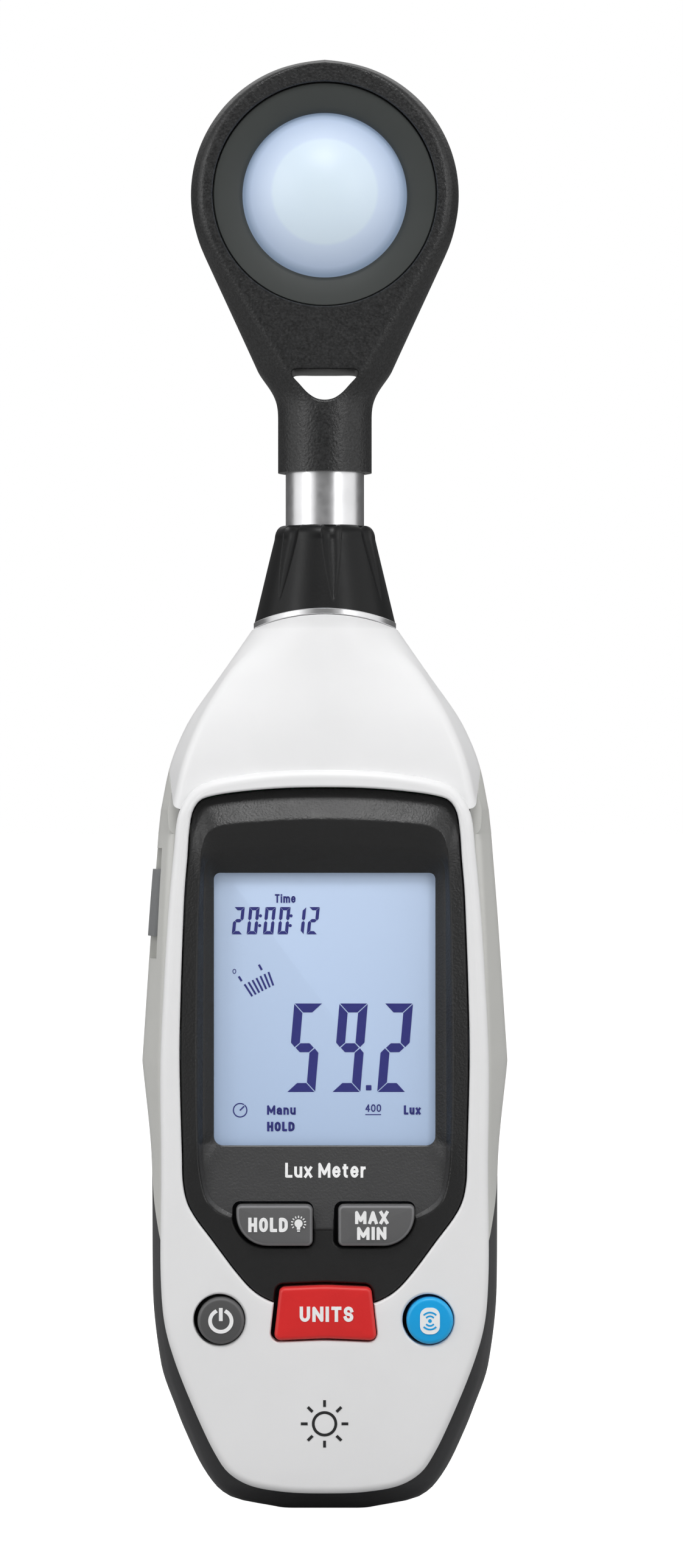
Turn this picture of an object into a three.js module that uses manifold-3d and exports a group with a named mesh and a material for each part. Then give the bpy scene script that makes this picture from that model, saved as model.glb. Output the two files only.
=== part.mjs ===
// Handheld light meter: a swivelling sensor head on a chrome stem above a two-shell case.
// Millimetres, +Z up, the display faces -Y. The case is drawn with Z counted from its lowest point and
// the whole meter is then moved so that the origin is the mouth of the tripod thread in its back.
import * as THREE from "three";
import { mergeVertices } from "three/addons/utils/BufferGeometryUtils.js";
import Module from "manifold-3d";

const wasm = await Module();
wasm.setup();

// Driving dimensions.
const GAP = 0.3; // between pieces that meet
const WALL = 2; // moulded shell thickness
const BOOT = 2.2; // rubber boot thickness
const BACK_Y = 17; // flat back of the case
const FACE_Y = -17; // front of the raised display frame
const FRAME_BACK_Y = -10.8; // where the front shell's skirt ends
const TRIPOD_Z = 95; // height of the tripod thread
const ARCH_TOP_Z = 160.1; // crown of the case's neck
const ARCH_R = 36; // the neck, its ring and its collar meet on arches about one Y axis
const NECK_R = 12.8;
const STEM_R = 7.07;
const STEM_BOTTOM_Z = 150;
const STEM_TOP_Z = 194;
const HEAD_Z = 235.5; // centre of the diffuser
const HEAD_DEPTH = 8; // half the thickness of the head
const BEZEL_FRONT_Y = -16.2;
const BEZEL_BACK_Y = -12.2;
const WINDOW = { half: 19.7, low: 65.6, high: 114.1, frontY: -13.4 };
const BOARD_FRONT_Y = -6.3;
const BOARD_BACK_Y = -4.7;
const KEY_FRONT_Y = -17.9;
const KEY_BACK_Y = -9.6;
const KEY_CLEARANCE = 0.35;
const CELL = { radius: 5.2, low: 27.5, high: 71.3, y: 8.4, pitch: 11.2 };
const DOOR = { half: 24, low: 17, high: 77, innerY: 14.8 };
const PORT = { y: -2.8, z: 108.6 };

const meter = new THREE.Group();
const TURN = 2 * Math.PI;

// ---------------------------------------------------------------- shapes

function solidOf(geometry) {
  const flat = geometry.index ? geometry.toNonIndexed() : geometry;
  const bare = new THREE.BufferGeometry();
  bare.setAttribute("position", flat.getAttribute("position"));
  const merged = mergeVertices(bare, 1e-4);
  return new wasm.Manifold(
    new wasm.Mesh({
      numProp: 3,
      vertProperties: merged.attributes.position.array,
      triVerts: new Uint32Array(merged.index.array),
    }),
  );
}

function geometryOf(solid) {
  const mesh = solid.getMesh();
  const geometry = new THREE.BufferGeometry();
  geometry.setAttribute("position", new THREE.BufferAttribute(mesh.vertProperties, 3));
  geometry.setIndex(new THREE.BufferAttribute(mesh.triVerts, 1));
  const flat = geometry.toNonIndexed();
  flat.computeVertexNormals();
  return flat;
}

function add(name, shape, finish, parent = meter) {
  const geometry = shape.isBufferGeometry ? shape : geometryOf(shape);
  const mesh = new THREE.Mesh(geometry, finish());
  mesh.name = name;
  parent.add(mesh);
  return mesh;
}

function box(x, y, z) {
  const geometry = new THREE.BoxGeometry(x[1] - x[0], y[1] - y[0], z[1] - z[0]);
  geometry.translate((x[0] + x[1]) / 2, (y[0] + y[1]) / 2, (z[0] + z[1]) / 2);
  return solidOf(geometry);
}

function rodZ(radius, low, high, x = 0, y = 0, sides = 40) {
  const geometry = new THREE.CylinderGeometry(radius, radius, high - low, sides);
  geometry.rotateX(Math.PI / 2);
  return solidOf(geometry.translate(x, y, (low + high) / 2));
}

function rodY(radius, front, back, x, z, sides = 32) {
  const geometry = new THREE.CylinderGeometry(radius, radius, back - front, sides);
  return solidOf(geometry.translate(x, (front + back) / 2, z));
}

// Corners of half an outline, from its bottom or front centre round +X to its top or back centre.
function mirrored(half) {
  const inner = half.slice(1, -1).reverse();
  return [...half, ...inner.map(([x, y]) => [-x, y])];
}

function inset(half, by) {
  const last = half.length - 1;
  return half.map(([x, y], i) => {
    const before = i ? half[i - 1] : [-half[1][0], half[1][1]];
    const after = i < last ? half[i + 1] : [-half[last - 1][0], half[last - 1][1]];
    const a = new THREE.Vector2(y - before[1], before[0] - x).normalize();
    const b = new THREE.Vector2(after[1] - y, x - after[0]).normalize();
    const step = a.clone().add(b).multiplyScalar(by / (1 + a.dot(b)));
    return [x - step.x, y - step.y];
  });
}

function smooth(half, steps) {
  const curve = new THREE.SplineCurve(half.map(([x, y]) => new THREE.Vector2(x, y)));
  return curve.getPoints(steps).map((p) => [p.x, p.y]);
}

function shapeOf(corners) {
  return new THREE.Shape(corners.map(([x, y]) => new THREE.Vector2(x, y)));
}

// A shape drawn in X and Z, given thickness from front to back along Y.
function prismY(shape, front, back, bevel = 0) {
  const geometry = new THREE.ExtrudeGeometry(shape, {
    depth: back - front - bevel,
    bevelEnabled: bevel > 0,
    bevelThickness: bevel,
    bevelSize: bevel,
    bevelOffset: -bevel,
    bevelSegments: 2,
    curveSegments: 8,
  });
  geometry.rotateX(Math.PI / 2);
  geometry.translate(0, back, 0);
  const whole = solidOf(geometry);
  if (!bevel) return whole;
  return whole.intersect(box([-99, 99], [front, back], [-99, 399]));
}

// A shape drawn in Y and Z, given width along X.
function prismX(corners, low, high) {
  const geometry = new THREE.ExtrudeGeometry(shapeOf(corners), {
    depth: high - low,
    bevelEnabled: false,
  });
  const turn = new THREE.Matrix4().makeBasis(
    new THREE.Vector3(0, 1, 0),
    new THREE.Vector3(0, 0, 1),
    new THREE.Vector3(1, 0, 0),
  );
  geometry.applyMatrix4(turn);
  return solidOf(geometry.translate(low, 0, 0));
}

// A closed skin over cross-sections stacked along Z, made by moving a cylinder's vertices.
function loft(levels) {
  const rings = levels.map(({ half }) => mirrored(half));
  const around = rings[0].length;
  const geometry = new THREE.CylinderGeometry(1, 1, 1, around, levels.length - 1);
  const at = geometry.attributes.position;
  for (let i = 0; i < at.count; i++) {
    const level = Math.round((at.getY(i) + 0.5) * (levels.length - 1));
    const ring = rings[level];
    if (Math.hypot(at.getX(i), at.getZ(i)) < 0.5) {
      const middleY = (ring[0][1] + ring[around / 2][1]) / 2;
      at.setXYZ(i, 0, middleY, levels[level].z);
    } else {
      const turn = Math.atan2(at.getX(i), at.getZ(i)) / TURN + 1;
      const corner = ring[Math.round(turn * around) % around];
      at.setXYZ(i, corner[0], corner[1], levels[level].z);
    }
  }
  return solidOf(geometry);
}

function lathe(profile, sides = 40) {
  const points = profile.map(([r, z]) => new THREE.Vector2(r, z));
  const geometry = new THREE.LatheGeometry([...points, points[0].clone()], sides);
  return geometry;
}

function latheZ(profile, sides) {
  return solidOf(lathe(profile, sides).rotateX(Math.PI / 2));
}

function roundedBox(halfX, low, high, radius) {
  const shape = new THREE.Shape();
  shape.moveTo(-halfX + radius, low);
  shape.lineTo(halfX - radius, low);
  shape.absarc(halfX - radius, low + radius, radius, -Math.PI / 2, 0);
  shape.absarc(halfX - radius, high - radius, radius, 0, Math.PI / 2);
  shape.absarc(-halfX + radius, high - radius, radius, Math.PI / 2, Math.PI);
  shape.absarc(-halfX + radius, low + radius, radius, Math.PI, 1.5 * Math.PI);
  return shape;
}

// ---------------------------------------------------------------- finishes

const finish = (color, roughness, metalness = 0) => () =>
  new THREE.MeshStandardMaterial({ color, roughness, metalness });
const casePlastic = finish(0xe4e4e4, 0.45);
const flankPlastic = finish(0xc6c6c0, 0.5);
const darkPlastic = finish(0x2b2b2c, 0.55);
const headPlastic = finish(0x252626, 0.5);
const ringPlastic = finish(0x3d403f, 0.6);
const bootRubber = finish(0x3c3d3e, 0.8);
const keyRubber = finish(0x6c6d6e, 0.6);
const redKey = finish(0xd9272b, 0.5);
const blueKey = finish(0x12a0dc, 0.45);
const opal = finish(0xdfe8f2, 0.3);
const chrome = finish(0xd8d8da, 0.12, 1);
const steel = finish(0xb4b6b8, 0.35, 1);
const brass = finish(0xc9a35a, 0.35, 1);
const clear = finish(0xe6edf2, 0.05);
const displayGlass = finish(0xbcd0ea, 0.25);
const whitePlastic = finish(0xf2f2ee, 0.5);
const circuitBoard = finish(0x1f5a3a, 0.5);
const chipPlastic = finish(0x1b1b1d, 0.6);
const greenGlass = finish(0x9fc3a6, 0.1);
const cellJacket = finish(0x3a6a57, 0.4);

// ---------------------------------------------------------------- outlines of the case

// Cross-sections of the case. Each row: z, front centre y, front edge x and y, widest x with the y
// where it starts and ends, back edge x and y, back centre y.
const CASE_ROWS = [
  [0, -5, 7, -5, 9, -3, 3, 7, 6.5, 7],
  [2, -8.5, 15, -8, 17, -5, 6, 14.5, 11.5, 12],
  [5.3, -10.5, 19, -10.5, 20.5, -6.5, 8, 18, 14.2, 14.8],
  [14, -10.5, 23.2, -10.5, 25.1, -6.5, 8, 22.2, 16.4, 16.7],
  [18, -10.5, 24.8, -10.5, 26.7, -6.5, 8, 23.6, 16.9, BACK_Y],
  [26, -10.5, 27.4, -10.5, 29.4, -6.5, 7, 26, BACK_Y, BACK_Y],
  [40, -10.5, 28.9, -10.5, 30.9, -6, 5, 26.8, BACK_Y, BACK_Y],
  [60, -10.5, 29.1, -10.5, 31.1, -4, 4.5, 26.8, BACK_Y, BACK_Y],
  [80, -10.5, 29.4, -10.5, 33, 0, 4, 27.2, BACK_Y, BACK_Y],
  [106, -10.5, 28.4, -10.5, 31.2, -2, 4, 26.8, BACK_Y, BACK_Y],
  [121, -10.5, 27.6, -10.5, 30, -3, 4, 25.6, BACK_Y, BACK_Y],
  [125.3, -16.3, 26.9, -15, 29.5, -4, 4, 25, 16.9, BACK_Y],
  [133, -16, 25.2, -14.5, 27.9, -4.5, 4, 23.4, 16.2, 16.6],
  [140, -15.5, 22.6, -13.5, 25.1, -4.5, 4, 20.6, 15, 15.8],
  [150, -14.3, 16.9, -11, 18.4, -4, 4, 15, 12.4, 14.3],
];
const NECK_ANGLES = [0, 26, 51, 80, 100, 129, 154, 180];
const NECK_LEVELS = [158, 166];

function sectionOf([, frontY, frontX, edgeY, wideX, wideFrom, wideTo, backX, backEdgeY, backY]) {
  return [
    [0, frontY],
    [frontX * 0.6, frontY + (edgeY - frontY) * 0.3],
    [frontX, edgeY],
    [wideX, wideFrom],
    [wideX, wideTo],
    [backX, backEdgeY],
    [backX * 0.6, backY - (backY - backEdgeY) * 0.3],
    [0, backY],
  ];
}

function neckSection(radius) {
  return NECK_ANGLES.map((degrees) => {
    const angle = THREE.MathUtils.degToRad(degrees);
    return [radius * Math.sin(angle), -radius * Math.cos(angle)];
  });
}

// The case's outer surface, or the same surface moved inwards by a wall thickness.
function caseSolid(by = 0) {
  const levels = CASE_ROWS.map((row) => ({ z: row[0], half: inset(sectionOf(row), by) }));
  levels[0].z += by;
  NECK_LEVELS.forEach((z) => levels.push({ z, half: neckSection(NECK_R - by) }));
  const lowest = by > 0 ? levels.slice(1) : levels;
  if (by > 0) lowest[0].z = Math.max(lowest[0].z, by + 0.2);
  return loft(lowest);
}

// Front view of the front shell's raised plate, bottom centre to top centre.
const PLATE = [
  [0, 4.3], [7.5, 4.6], [13.5, 5.8], [17, 8], [19.2, 11.2], [22.6, 18.3], [26.4, 27.8],
  [28.1, 34], [28.8, 42], [28.7, 62], [28.9, 80], [28.4, 92], [27.5, 107], [26.6, 117],
  [25.7, 124.3], [24.6, 126.9], [23.2, 128.6], [21, 129.9], [12, 131.6], [0, 132.2],
];
// Front view of the dark display bezel.
const BEZEL = [
  [0, 37], [8, 37.9], [12.9, 40.5], [15.5, 43.4], [19.7, 49], [22.9, 53.3], [24.2, 55.8],
  [24.9, 59], [25.1, 64.5], [25.5, 81.6], [25.3, 92.7], [24.6, 111], [24.1, 117],
  [23.4, 124.4], [22.3, 126.7], [19.8, 127.5], [10, 128.8], [0, 129.1],
];
const OUTLINE_STEPS = 26;
const plateHalf = smooth(PLATE, OUTLINE_STEPS);
const bezelHalf = smooth(BEZEL, OUTLINE_STEPS);

// ---------------------------------------------------------------- keys

function circleShape(x, z, radius) {
  const shape = new THREE.Shape();
  shape.absarc(x, z, radius, 0, TURN);
  return shape;
}

// A key's outline grown by a margin. A leaf key has one large lower outer corner.
function leafShape(side, grow) {
  const inner = 2.25 - grow;
  const outer = 15.85 + grow;
  const low = 48.1 - grow;
  const high = 55.4 + grow;
  const big = 6 + grow;
  const small = 1.1 + grow;
  const shape = new THREE.Shape();
  shape.moveTo(inner + small, low);
  shape.lineTo(outer - big, low);
  shape.absarc(outer - big, low + big, big, -Math.PI / 2, 0);
  shape.absarc(outer - small, high - small, small, 0, Math.PI / 2);
  shape.absarc(inner + small, high - small, small, Math.PI / 2, Math.PI);
  shape.absarc(inner + small, low + small, small, Math.PI, 1.5 * Math.PI);
  if (side > 0) return shape;
  const points = shape.getPoints(6).map((p) => new THREE.Vector2(-p.x, p.y));
  return new THREE.Shape(points.reverse());
}

function unitsShape(grow) {
  const corners = [
    [0, 31.6 - grow], [8.3, 31.2 - grow], [9.1 + grow, 32], [8.3 + grow, 40.2],
    [7.4, 40.9 + grow], [0, 41.1 + grow],
  ];
  return shapeOf(mirrored(corners));
}

const ROUND_KEY = { x: 18.5, z: 34.9, radius: 4.15 };
const KEYS = [
  { name: "hold", finish: keyRubber, outline: (grow) => leafShape(-1, grow) },
  { name: "maxmin", finish: keyRubber, outline: (grow) => leafShape(1, grow) },
  { name: "units", finish: redKey, outline: unitsShape },
  {
    name: "power",
    finish: keyRubber,
    outline: (grow) => circleShape(-ROUND_KEY.x, ROUND_KEY.z, ROUND_KEY.radius + grow),
  },
  {
    name: "wireless",
    finish: blueKey,
    outline: (grow) => circleShape(ROUND_KEY.x, ROUND_KEY.z, ROUND_KEY.radius + grow),
  },
];

function makeKeys() {
  const FLANGE = 0.7;
  const FLANGE_THICKNESS = 1;
  const CROWN = 0.8;
  KEYS.forEach(({ name, finish: keyFinish, outline }) => {
    const cap = prismY(outline(0), KEY_FRONT_Y, KEY_BACK_Y, CROWN);
    const flange = prismY(outline(FLANGE), KEY_BACK_Y - FLANGE_THICKNESS, KEY_BACK_Y);
    add(name + "_key", cap.add(flange), keyFinish);
  });
}

function keyHoles(names, front, back) {
  return KEYS.filter(({ name }) => names.includes(name))
    .map(({ outline }) => prismY(outline(KEY_CLEARANCE), front, back))
    .reduce((all, hole) => all.add(hole));
}

// ---------------------------------------------------------------- the case's shells

// Side view of the split between the front shell and the rear shell, as the region in front of it.
function frontRegion(gap) {
  return prismX(
    [
      [-30, 124], [-15, 125.3], [-4.3 - gap, 132.8], [-gap, 136.3], [-gap, 172], [-30, 172],
    ],
    -40,
    40,
  );
}

function archRegion(radius) {
  const centreZ = ARCH_TOP_Z - ARCH_R;
  return rodY(radius, -20, 20, 0, centreZ, 96);
}

// Everything above the arch on which the neck ends.
function aboveArch(radius) {
  return box([-16, 16], [-16, 16], [145, 180]).subtract(archRegion(radius));
}

// Front view of the flat rim where the case's skirt ends behind the plate, moved inwards by a wall.
function rimShape(by) {
  const flat = CASE_ROWS.filter(([z]) => z > 5 && z < 126);
  const sides = flat.map(([z, , frontX]) => [frontX, z]);
  const low = [0, sides[0][1]];
  const high = [0, sides[sides.length - 1][1]];
  return shapeOf(mirrored(inset([low, ...sides, high], by)));
}

// Each screw's place, where its head sits and where its tip ends.
const SCREWS = [
  { x: 15.5, z: 141, headY: 12.6, frontY: -7 },
  { x: 24.3, z: 83, headY: 14.8, frontY: -10.9 },
];
const SCREW_HEAD_R = 2;
const SCREW_R = 1.1;

// Calls make(x, screw) for each of the four case screws and joins the solids.
function forScrews(make) {
  return SCREWS.flatMap((screw) => [make(-screw.x, screw), make(screw.x, screw)]).reduce(
    (all, next) => all.add(next),
  );
}

const SPIGOT = { radius: 10, bore: 8.75, low: 150, high: 164 };
const CLIP_POCKET = { radius: 10, low: 147.5, high: 152.6 };

// The solid collar of plastic that holds the stem's bush, split between the two shells.
function neckCore() {
  const core = rodZ(NECK_R - 1, 146, 159).intersect(caseSolid(0.2));
  const spigot = rodZ(SPIGOT.radius, SPIGOT.low, SPIGOT.high);
  return core.subtract(aboveArch(ARCH_R)).add(spigot);
}

function neckBore() {
  const bush = rodZ(SPIGOT.bore, 140, 175);
  return bush.add(rodZ(CLIP_POCKET.radius, CLIP_POCKET.low, CLIP_POCKET.high));
}

const outer = caseSolid();
const hollow = caseSolid(WALL);

const DEEP_SCREW_Y = 14;
const BOSS_R = 3;
const CLAMP = { r: 2.1, y: [-11.9, -8.7], webY: [-11.9, -10.9], webHalf: 2, reach: 2.9 };

function makeFrontHousing() {
  const shoulder = outer.intersect(frontRegion(0.15)).subtract(aboveArch(ARCH_R));
  const plate = prismY(shapeOf(mirrored(plateHalf)), FACE_Y, FRAME_BACK_Y, 1);
  const plateHollow = prismY(
    shapeOf(mirrored(inset(plateHalf, WALL))),
    FACE_Y + WALL,
    FRAME_BACK_Y + 1,
  );
  const opening = prismY(shapeOf(mirrored(inset(bezelHalf, -0.15))), -20, -9);
  const shell = shoulder
    .subtract(hollow)
    .add(neckCore().intersect(frontRegion(0.15)))
    .add(plate)
    .subtract(plateHollow)
    .subtract(opening);
  const bosses = forScrews((x, { z, headY }) => {
    if (headY < DEEP_SCREW_Y) return rodY(BOSS_R, -14, -0.15, x, z, 16).intersect(caseSolid(0.5));
    const ends = [x, x + Math.sign(x) * CLAMP.reach].sort((a, b) => a - b);
    const web = box(ends, CLAMP.webY, [z - CLAMP.webHalf, z + CLAMP.webHalf]);
    return rodY(CLAMP.r, ...CLAMP.y, x, z, 16).add(web);
  });
  const pilots = forScrews((x, { z, frontY }) =>
    rodY(SCREW_R + GAP, frontY - GAP, 3, x, z, 16),
  );
  const housing = shell
    .add(bosses)
    .subtract(keyHoles(["units", "power", "wireless"], -20, -9))
    .subtract(neckBore())
    .subtract(pilots);
  add("front_housing", housing, casePlastic);
}

// Side view of the space that the boot fills; shrunk by a gap it is the boot itself.
function bootRegion(gap) {
  return prismX(
    [
      [-10.2 + gap, -5], [12.5 - gap, -5], [12.5 - gap, 62 - gap], [-3.5, 59.5 - gap],
      [-10.2 + gap, 46.5 - gap],
    ],
    -40,
    40,
  );
}

// Outline of the battery door on the back, grown by a margin.
function doorShape(grow) {
  const corners = [
    [0, DOOR.low - grow], [19.5 + grow, DOOR.low - grow], [DOOR.half + grow, 32],
    [DOOR.half + grow, DOOR.high + grow], [0, DOOR.high + grow],
  ];
  return shapeOf(mirrored(corners));
}

const BAY = { half: 22.9, low: 22.2, high: 72.6, floorY: 2.5 };
const DOOR_SCREW_Z = 19.2;
const DOOR_TAB = { half: 3, reach: 2, low: 75, y: [12.6, 14.2], rootY: [13.5, 15.2] };
const DOOR_GRIP = { half: 9, low: 66, pitch: 2.2, height: 1, floorY: 16.5 };
const DOOR_TAB_X = [-14, 14];

function bayWalls() {
  const wall = 1.5;
  const block = box(
    [-BAY.half - wall, BAY.half + wall],
    [BAY.floorY - wall, DOOR.innerY - GAP],
    [BAY.low - wall, BAY.high + wall],
  );
  const boss = box([-4, 4], [BAY.floorY - wall, DOOR.innerY - GAP], [15, BAY.low]);
  return block.add(boss);
}

function bayHollow() {
  const cells = box([-BAY.half, BAY.half], [BAY.floorY, 20], [BAY.low, BAY.high]);
  const screw = rodY(1.8, 5, 20, 0, DOOR_SCREW_Z, 16);
  const tabs = DOOR_TAB_X.map((x) =>
    box(
      [x - DOOR_TAB.half - 0.5, x + DOOR_TAB.half + 0.5],
      [9.5, DOOR.innerY],
      [DOOR_TAB.low - 3, DOOR.high + DOOR_TAB.reach + 1],
    ),
  );
  return tabs.reduce((all, tab) => all.add(tab), cells.add(screw));
}

// The oval recess in the left flank with the port's opening in its floor.
const RECESS = { low: 98.5, high: 118.4, y: [-6.1, 0.9], depth: 1.3 };

function portRecess() {
  const side = box([-40, -20], RECESS.y, [RECESS.low, RECESS.high]);
  const mouth = box([-40, -26], [PORT.y - 2, PORT.y + 2], [PORT.z - 5, PORT.z + 5]);
  return side.subtract(caseSolid(RECESS.depth)).add(mouth);
}

const TRIPOD = { insertR: 4.8, boreR: 3.2, frontY: 9, floorY: 10.5 };

function makeRearHousing() {
  const behind = box([-40, 40], [-10.5, 30], [-5, 180]).subtract(frontRegion(-0.15));
  const underBoot = BOOT + GAP;
  const coreRim = prismY(rimShape(underBoot), -10.5, -6);
  const core = caseSolid(underBoot).add(coreRim);
  const skin = outer.subtract(bootRegion(0)).add(core).subtract(aboveArch(ARCH_R));
  const booted = box([-40, 40], [-30, BACK_Y - WALL], [-5, 61]);
  const bare = box([-40, 40], [-30, 30], [60.5, 180]);
  const inner = caseSolid(WALL)
    .add(prismY(rimShape(WALL), -30, -6))
    .intersect(bare)
    .add(
      caseSolid(underBoot + WALL)
        .add(prismY(rimShape(underBoot + WALL), -30, -6))
        .intersect(booted),
    );
  const bosses = forScrews((x, { z, headY }) => {
    if (headY < DEEP_SCREW_Y) return rodY(BOSS_R, 0.15, 16.5, x, z, 16);
    return rodY(2.1, -8.4, 0, x, z, 16).add(rodY(3.2, -3.5, 16.5, x, z, 20));
  });
  const tripodBoss = rodY(TRIPOD.insertR + 2.2, 6, BACK_Y, 0, TRIPOD_Z);
  const holes = forScrews((x, { z, headY }) =>
    rodY(SCREW_R + GAP, -12, 18, x, z, 16).add(
      rodY(SCREW_HEAD_R + GAP, headY - GAP, 18, x, z, 20),
    ),
  );
  const housing = skin
    .intersect(behind)
    .subtract(inner)
    .add(neckCore().intersect(behind))
    .add(bayWalls().intersect(caseSolid(BOOT + GAP)))
    .add(bosses.intersect(outer))
    .add(tripodBoss)
    .subtract(prismY(doorShape(GAP), DOOR.innerY - GAP, 20))
    .subtract(bayHollow())
    .subtract(rodY(TRIPOD.insertR + GAP, TRIPOD.frontY - GAP, 20, 0, TRIPOD_Z))
    .subtract(holes)
    .subtract(portRecess())
    .subtract(neckBore());
  add("rear_housing", housing, flankPlastic);
}

function makeBoot() {
  const boot = outer
    .intersect(bootRegion(GAP))
    .subtract(caseSolid(BOOT))
    .subtract(prismY(rimShape(BOOT), -30, -6));
  add("rubber_boot", boot, bootRubber);
}

// The display's recess at the bezel's face and at the window, as half outlines.
const RECESS_FRONT = [
  [0, 52], [17, 53], [23, 60], [22.6, 90], [21.6, 119], [19, 122.6], [8, 123.3], [0, 123.5],
];
const RECESS_FLOOR = [
  [0, 65.4], [17, 65.4], [19.9, 67], [19.9, 90], [19.9, 112], [18.8, 114.3], [8, 114.3], [0, 114.3],
];

function makeBezel() {
  const panel = prismY(shapeOf(mirrored(inset(bezelHalf, 0.15))), BEZEL_FRONT_Y, BEZEL_BACK_Y);
  const window = prismY(
    roundedBox(WINDOW.half + 0.2, WINDOW.low - 0.2, WINDOW.high + 0.2, 1.2),
    -20,
    -10,
  );
  // The recess widens towards the front, most of all at the top.
  const recess = loft([
    { z: 13.4, half: RECESS_FLOOR },
    { z: 20, half: RECESS_FRONT },
  ]);
  const bezel = panel
    .subtract(window)
    .subtract(recess.rotate([90, 0, 0]))
    .subtract(keyHoles(["hold", "maxmin", "units"], -20, -10));
  add("display_bezel", bezel, darkPlastic);
}

// ---------------------------------------------------------------- display and electronics

function makeDisplay() {
  add(
    "display_window",
    prismY(
      roundedBox(WINDOW.half - 0.1, WINDOW.low + 0.1, WINDOW.high - 0.1, 1),
      WINDOW.frontY,
      BEZEL_BACK_Y,
    ),
    clear,
  );
  add("lcd_glass", box([-21.5, 21.5], [-11.9, -9.7], [62, 119]), displayGlass);
  add("backlight", box([-21, 21], [-9.4, -6.6], [65.5, 115.5]), whitePlastic);
  add("zebra_strip_top", box([-19, 19], [-9.4, -6.6], [116.4, 118.4]), chipPlastic);
  add("zebra_strip_bottom", box([-19, 19], [-9.4, -6.6], [62.6, 64.6]), chipPlastic);
}

function makeElectronics() {
  const board = prismY(roundedBox(21.9, 28, 131, 2), BOARD_FRONT_Y, BOARD_BACK_Y);
  add("main_board", board, circuitBoard);
  const mat = prismY(roundedBox(22.5, 31, 58, 3), -8.3, -6.6);
  add("keypad_mat", mat, keyRubber);
  const behind = BOARD_BACK_Y + GAP;
  add("controller_chip", box([-11, -1], [behind, behind + 1.2], [86, 96]), chipPlastic);
  add("radio_module", box([6, 18], [behind, behind + 2.2], [110, 126]), steel);
  add("buzzer", rodY(5, behind, behind + 3.4, -12, 66, 24), chipPlastic);
  const shell = box([-28.9, -20.5], [PORT.y - 1.6, PORT.y + 1.6], [PORT.z - 4.5, PORT.z + 4.5]);
  const mouth = box([-30, -22], [PORT.y - 1.25, PORT.y + 1.25], [PORT.z - 4.1, PORT.z + 4.1]);
  const tongue = box([-27.8, -21], [PORT.y - 0.35, PORT.y + 0.35], [PORT.z - 3.3, PORT.z + 3.3]);
  add("usb_port", shell.subtract(mouth).add(tongue), steel);
  add("lead_connector", box([-4, 4], [behind, behind + 3.4], [125.5, 130]), whitePlastic);
}

// The flap over the side port: proud of the flank, with a lip that enters the port's opening.
function makePortCover() {
  const PROUD = 1.1;
  const band = box([-40, -20], [PORT.y - 3, PORT.y + 3.2], [PORT.z - 6, PORT.z + 6]);
  const flap = band.intersect(caseSolid(-PROUD)).subtract(caseSolid(RECESS.depth - GAP));
  const lip = box([-30.4, -29.2], [PORT.y - 1.6, PORT.y + 1.6], [PORT.z - 3.9, PORT.z + 3.9]);
  add("port_cover", flap.add(lip), bootRubber);
}

// ---------------------------------------------------------------- power

function makeBatteries() {
  const length = CELL.high - CELL.low;
  const profile = [
    [0, 0], [CELL.radius - 0.4, 0], [CELL.radius, 0.4], [CELL.radius, length - 1.2],
    [CELL.radius - 0.5, length - 0.8], [1.9, length - 0.8], [1.9, length], [0, length],
  ];
  for (let i = 0; i < 4; i++) {
    const cell = solidOf(
      new THREE.LatheGeometry(profile.map(([r, z]) => new THREE.Vector2(r, z)), 24).rotateX(
        Math.PI / 2,
      ),
    );
    const mesh = add(`battery_${i + 1}`, cell, cellJacket);
    const upsideDown = i % 2 === 1;
    mesh.position.set((i - 1.5) * CELL.pitch, CELL.y, upsideDown ? CELL.high : CELL.low);
    if (upsideDown) mesh.rotation.x = Math.PI;
  }
  const topPlate = box([-21.8, 21.8], [3.3, 13.4], [71.7, 72.2]);
  add("battery_contact_top", topPlate, steel);
  let springs = box([-21.8, 21.8], [3.3, 13.4], [22.6, 23.1]);
  for (let i = 0; i < 4; i++) {
    const spring = new THREE.CylinderGeometry(2, 3.2, 4.3, 16).rotateX(Math.PI / 2);
    spring.translate((i - 1.5) * CELL.pitch, CELL.y, 25);
    springs = springs.add(solidOf(spring));
  }
  add("battery_contact_springs", springs, steel);
}

// A cross-slot screw whose head seats at Y = 0 and points at +Y.
function screwGeometry(length) {
  const head = 1.5;
  const slot = box([-0.35, 0.35], [0.7, 3], [-1.3, 1.3]).add(
    box([-1.3, 1.3], [0.7, 3], [-0.35, 0.35]),
  );
  return rodY(SCREW_HEAD_R, 0, head, 0, 0, 20)
    .add(rodY(SCREW_R, -length, 0.1, 0, 0, 12))
    .subtract(slot);
}

function makeCaseScrews() {
  const place = ["upper", "lower"];
  SCREWS.forEach(({ x, z, headY, frontY }, row) => {
    [-1, 1].forEach((side) => {
      const name = `case_screw_${place[row]}_${side < 0 ? "left" : "right"}`;
      const mesh = add(name, screwGeometry(headY - frontY), steel);
      mesh.position.set(side * x, headY, z);
    });
  });
}

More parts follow.
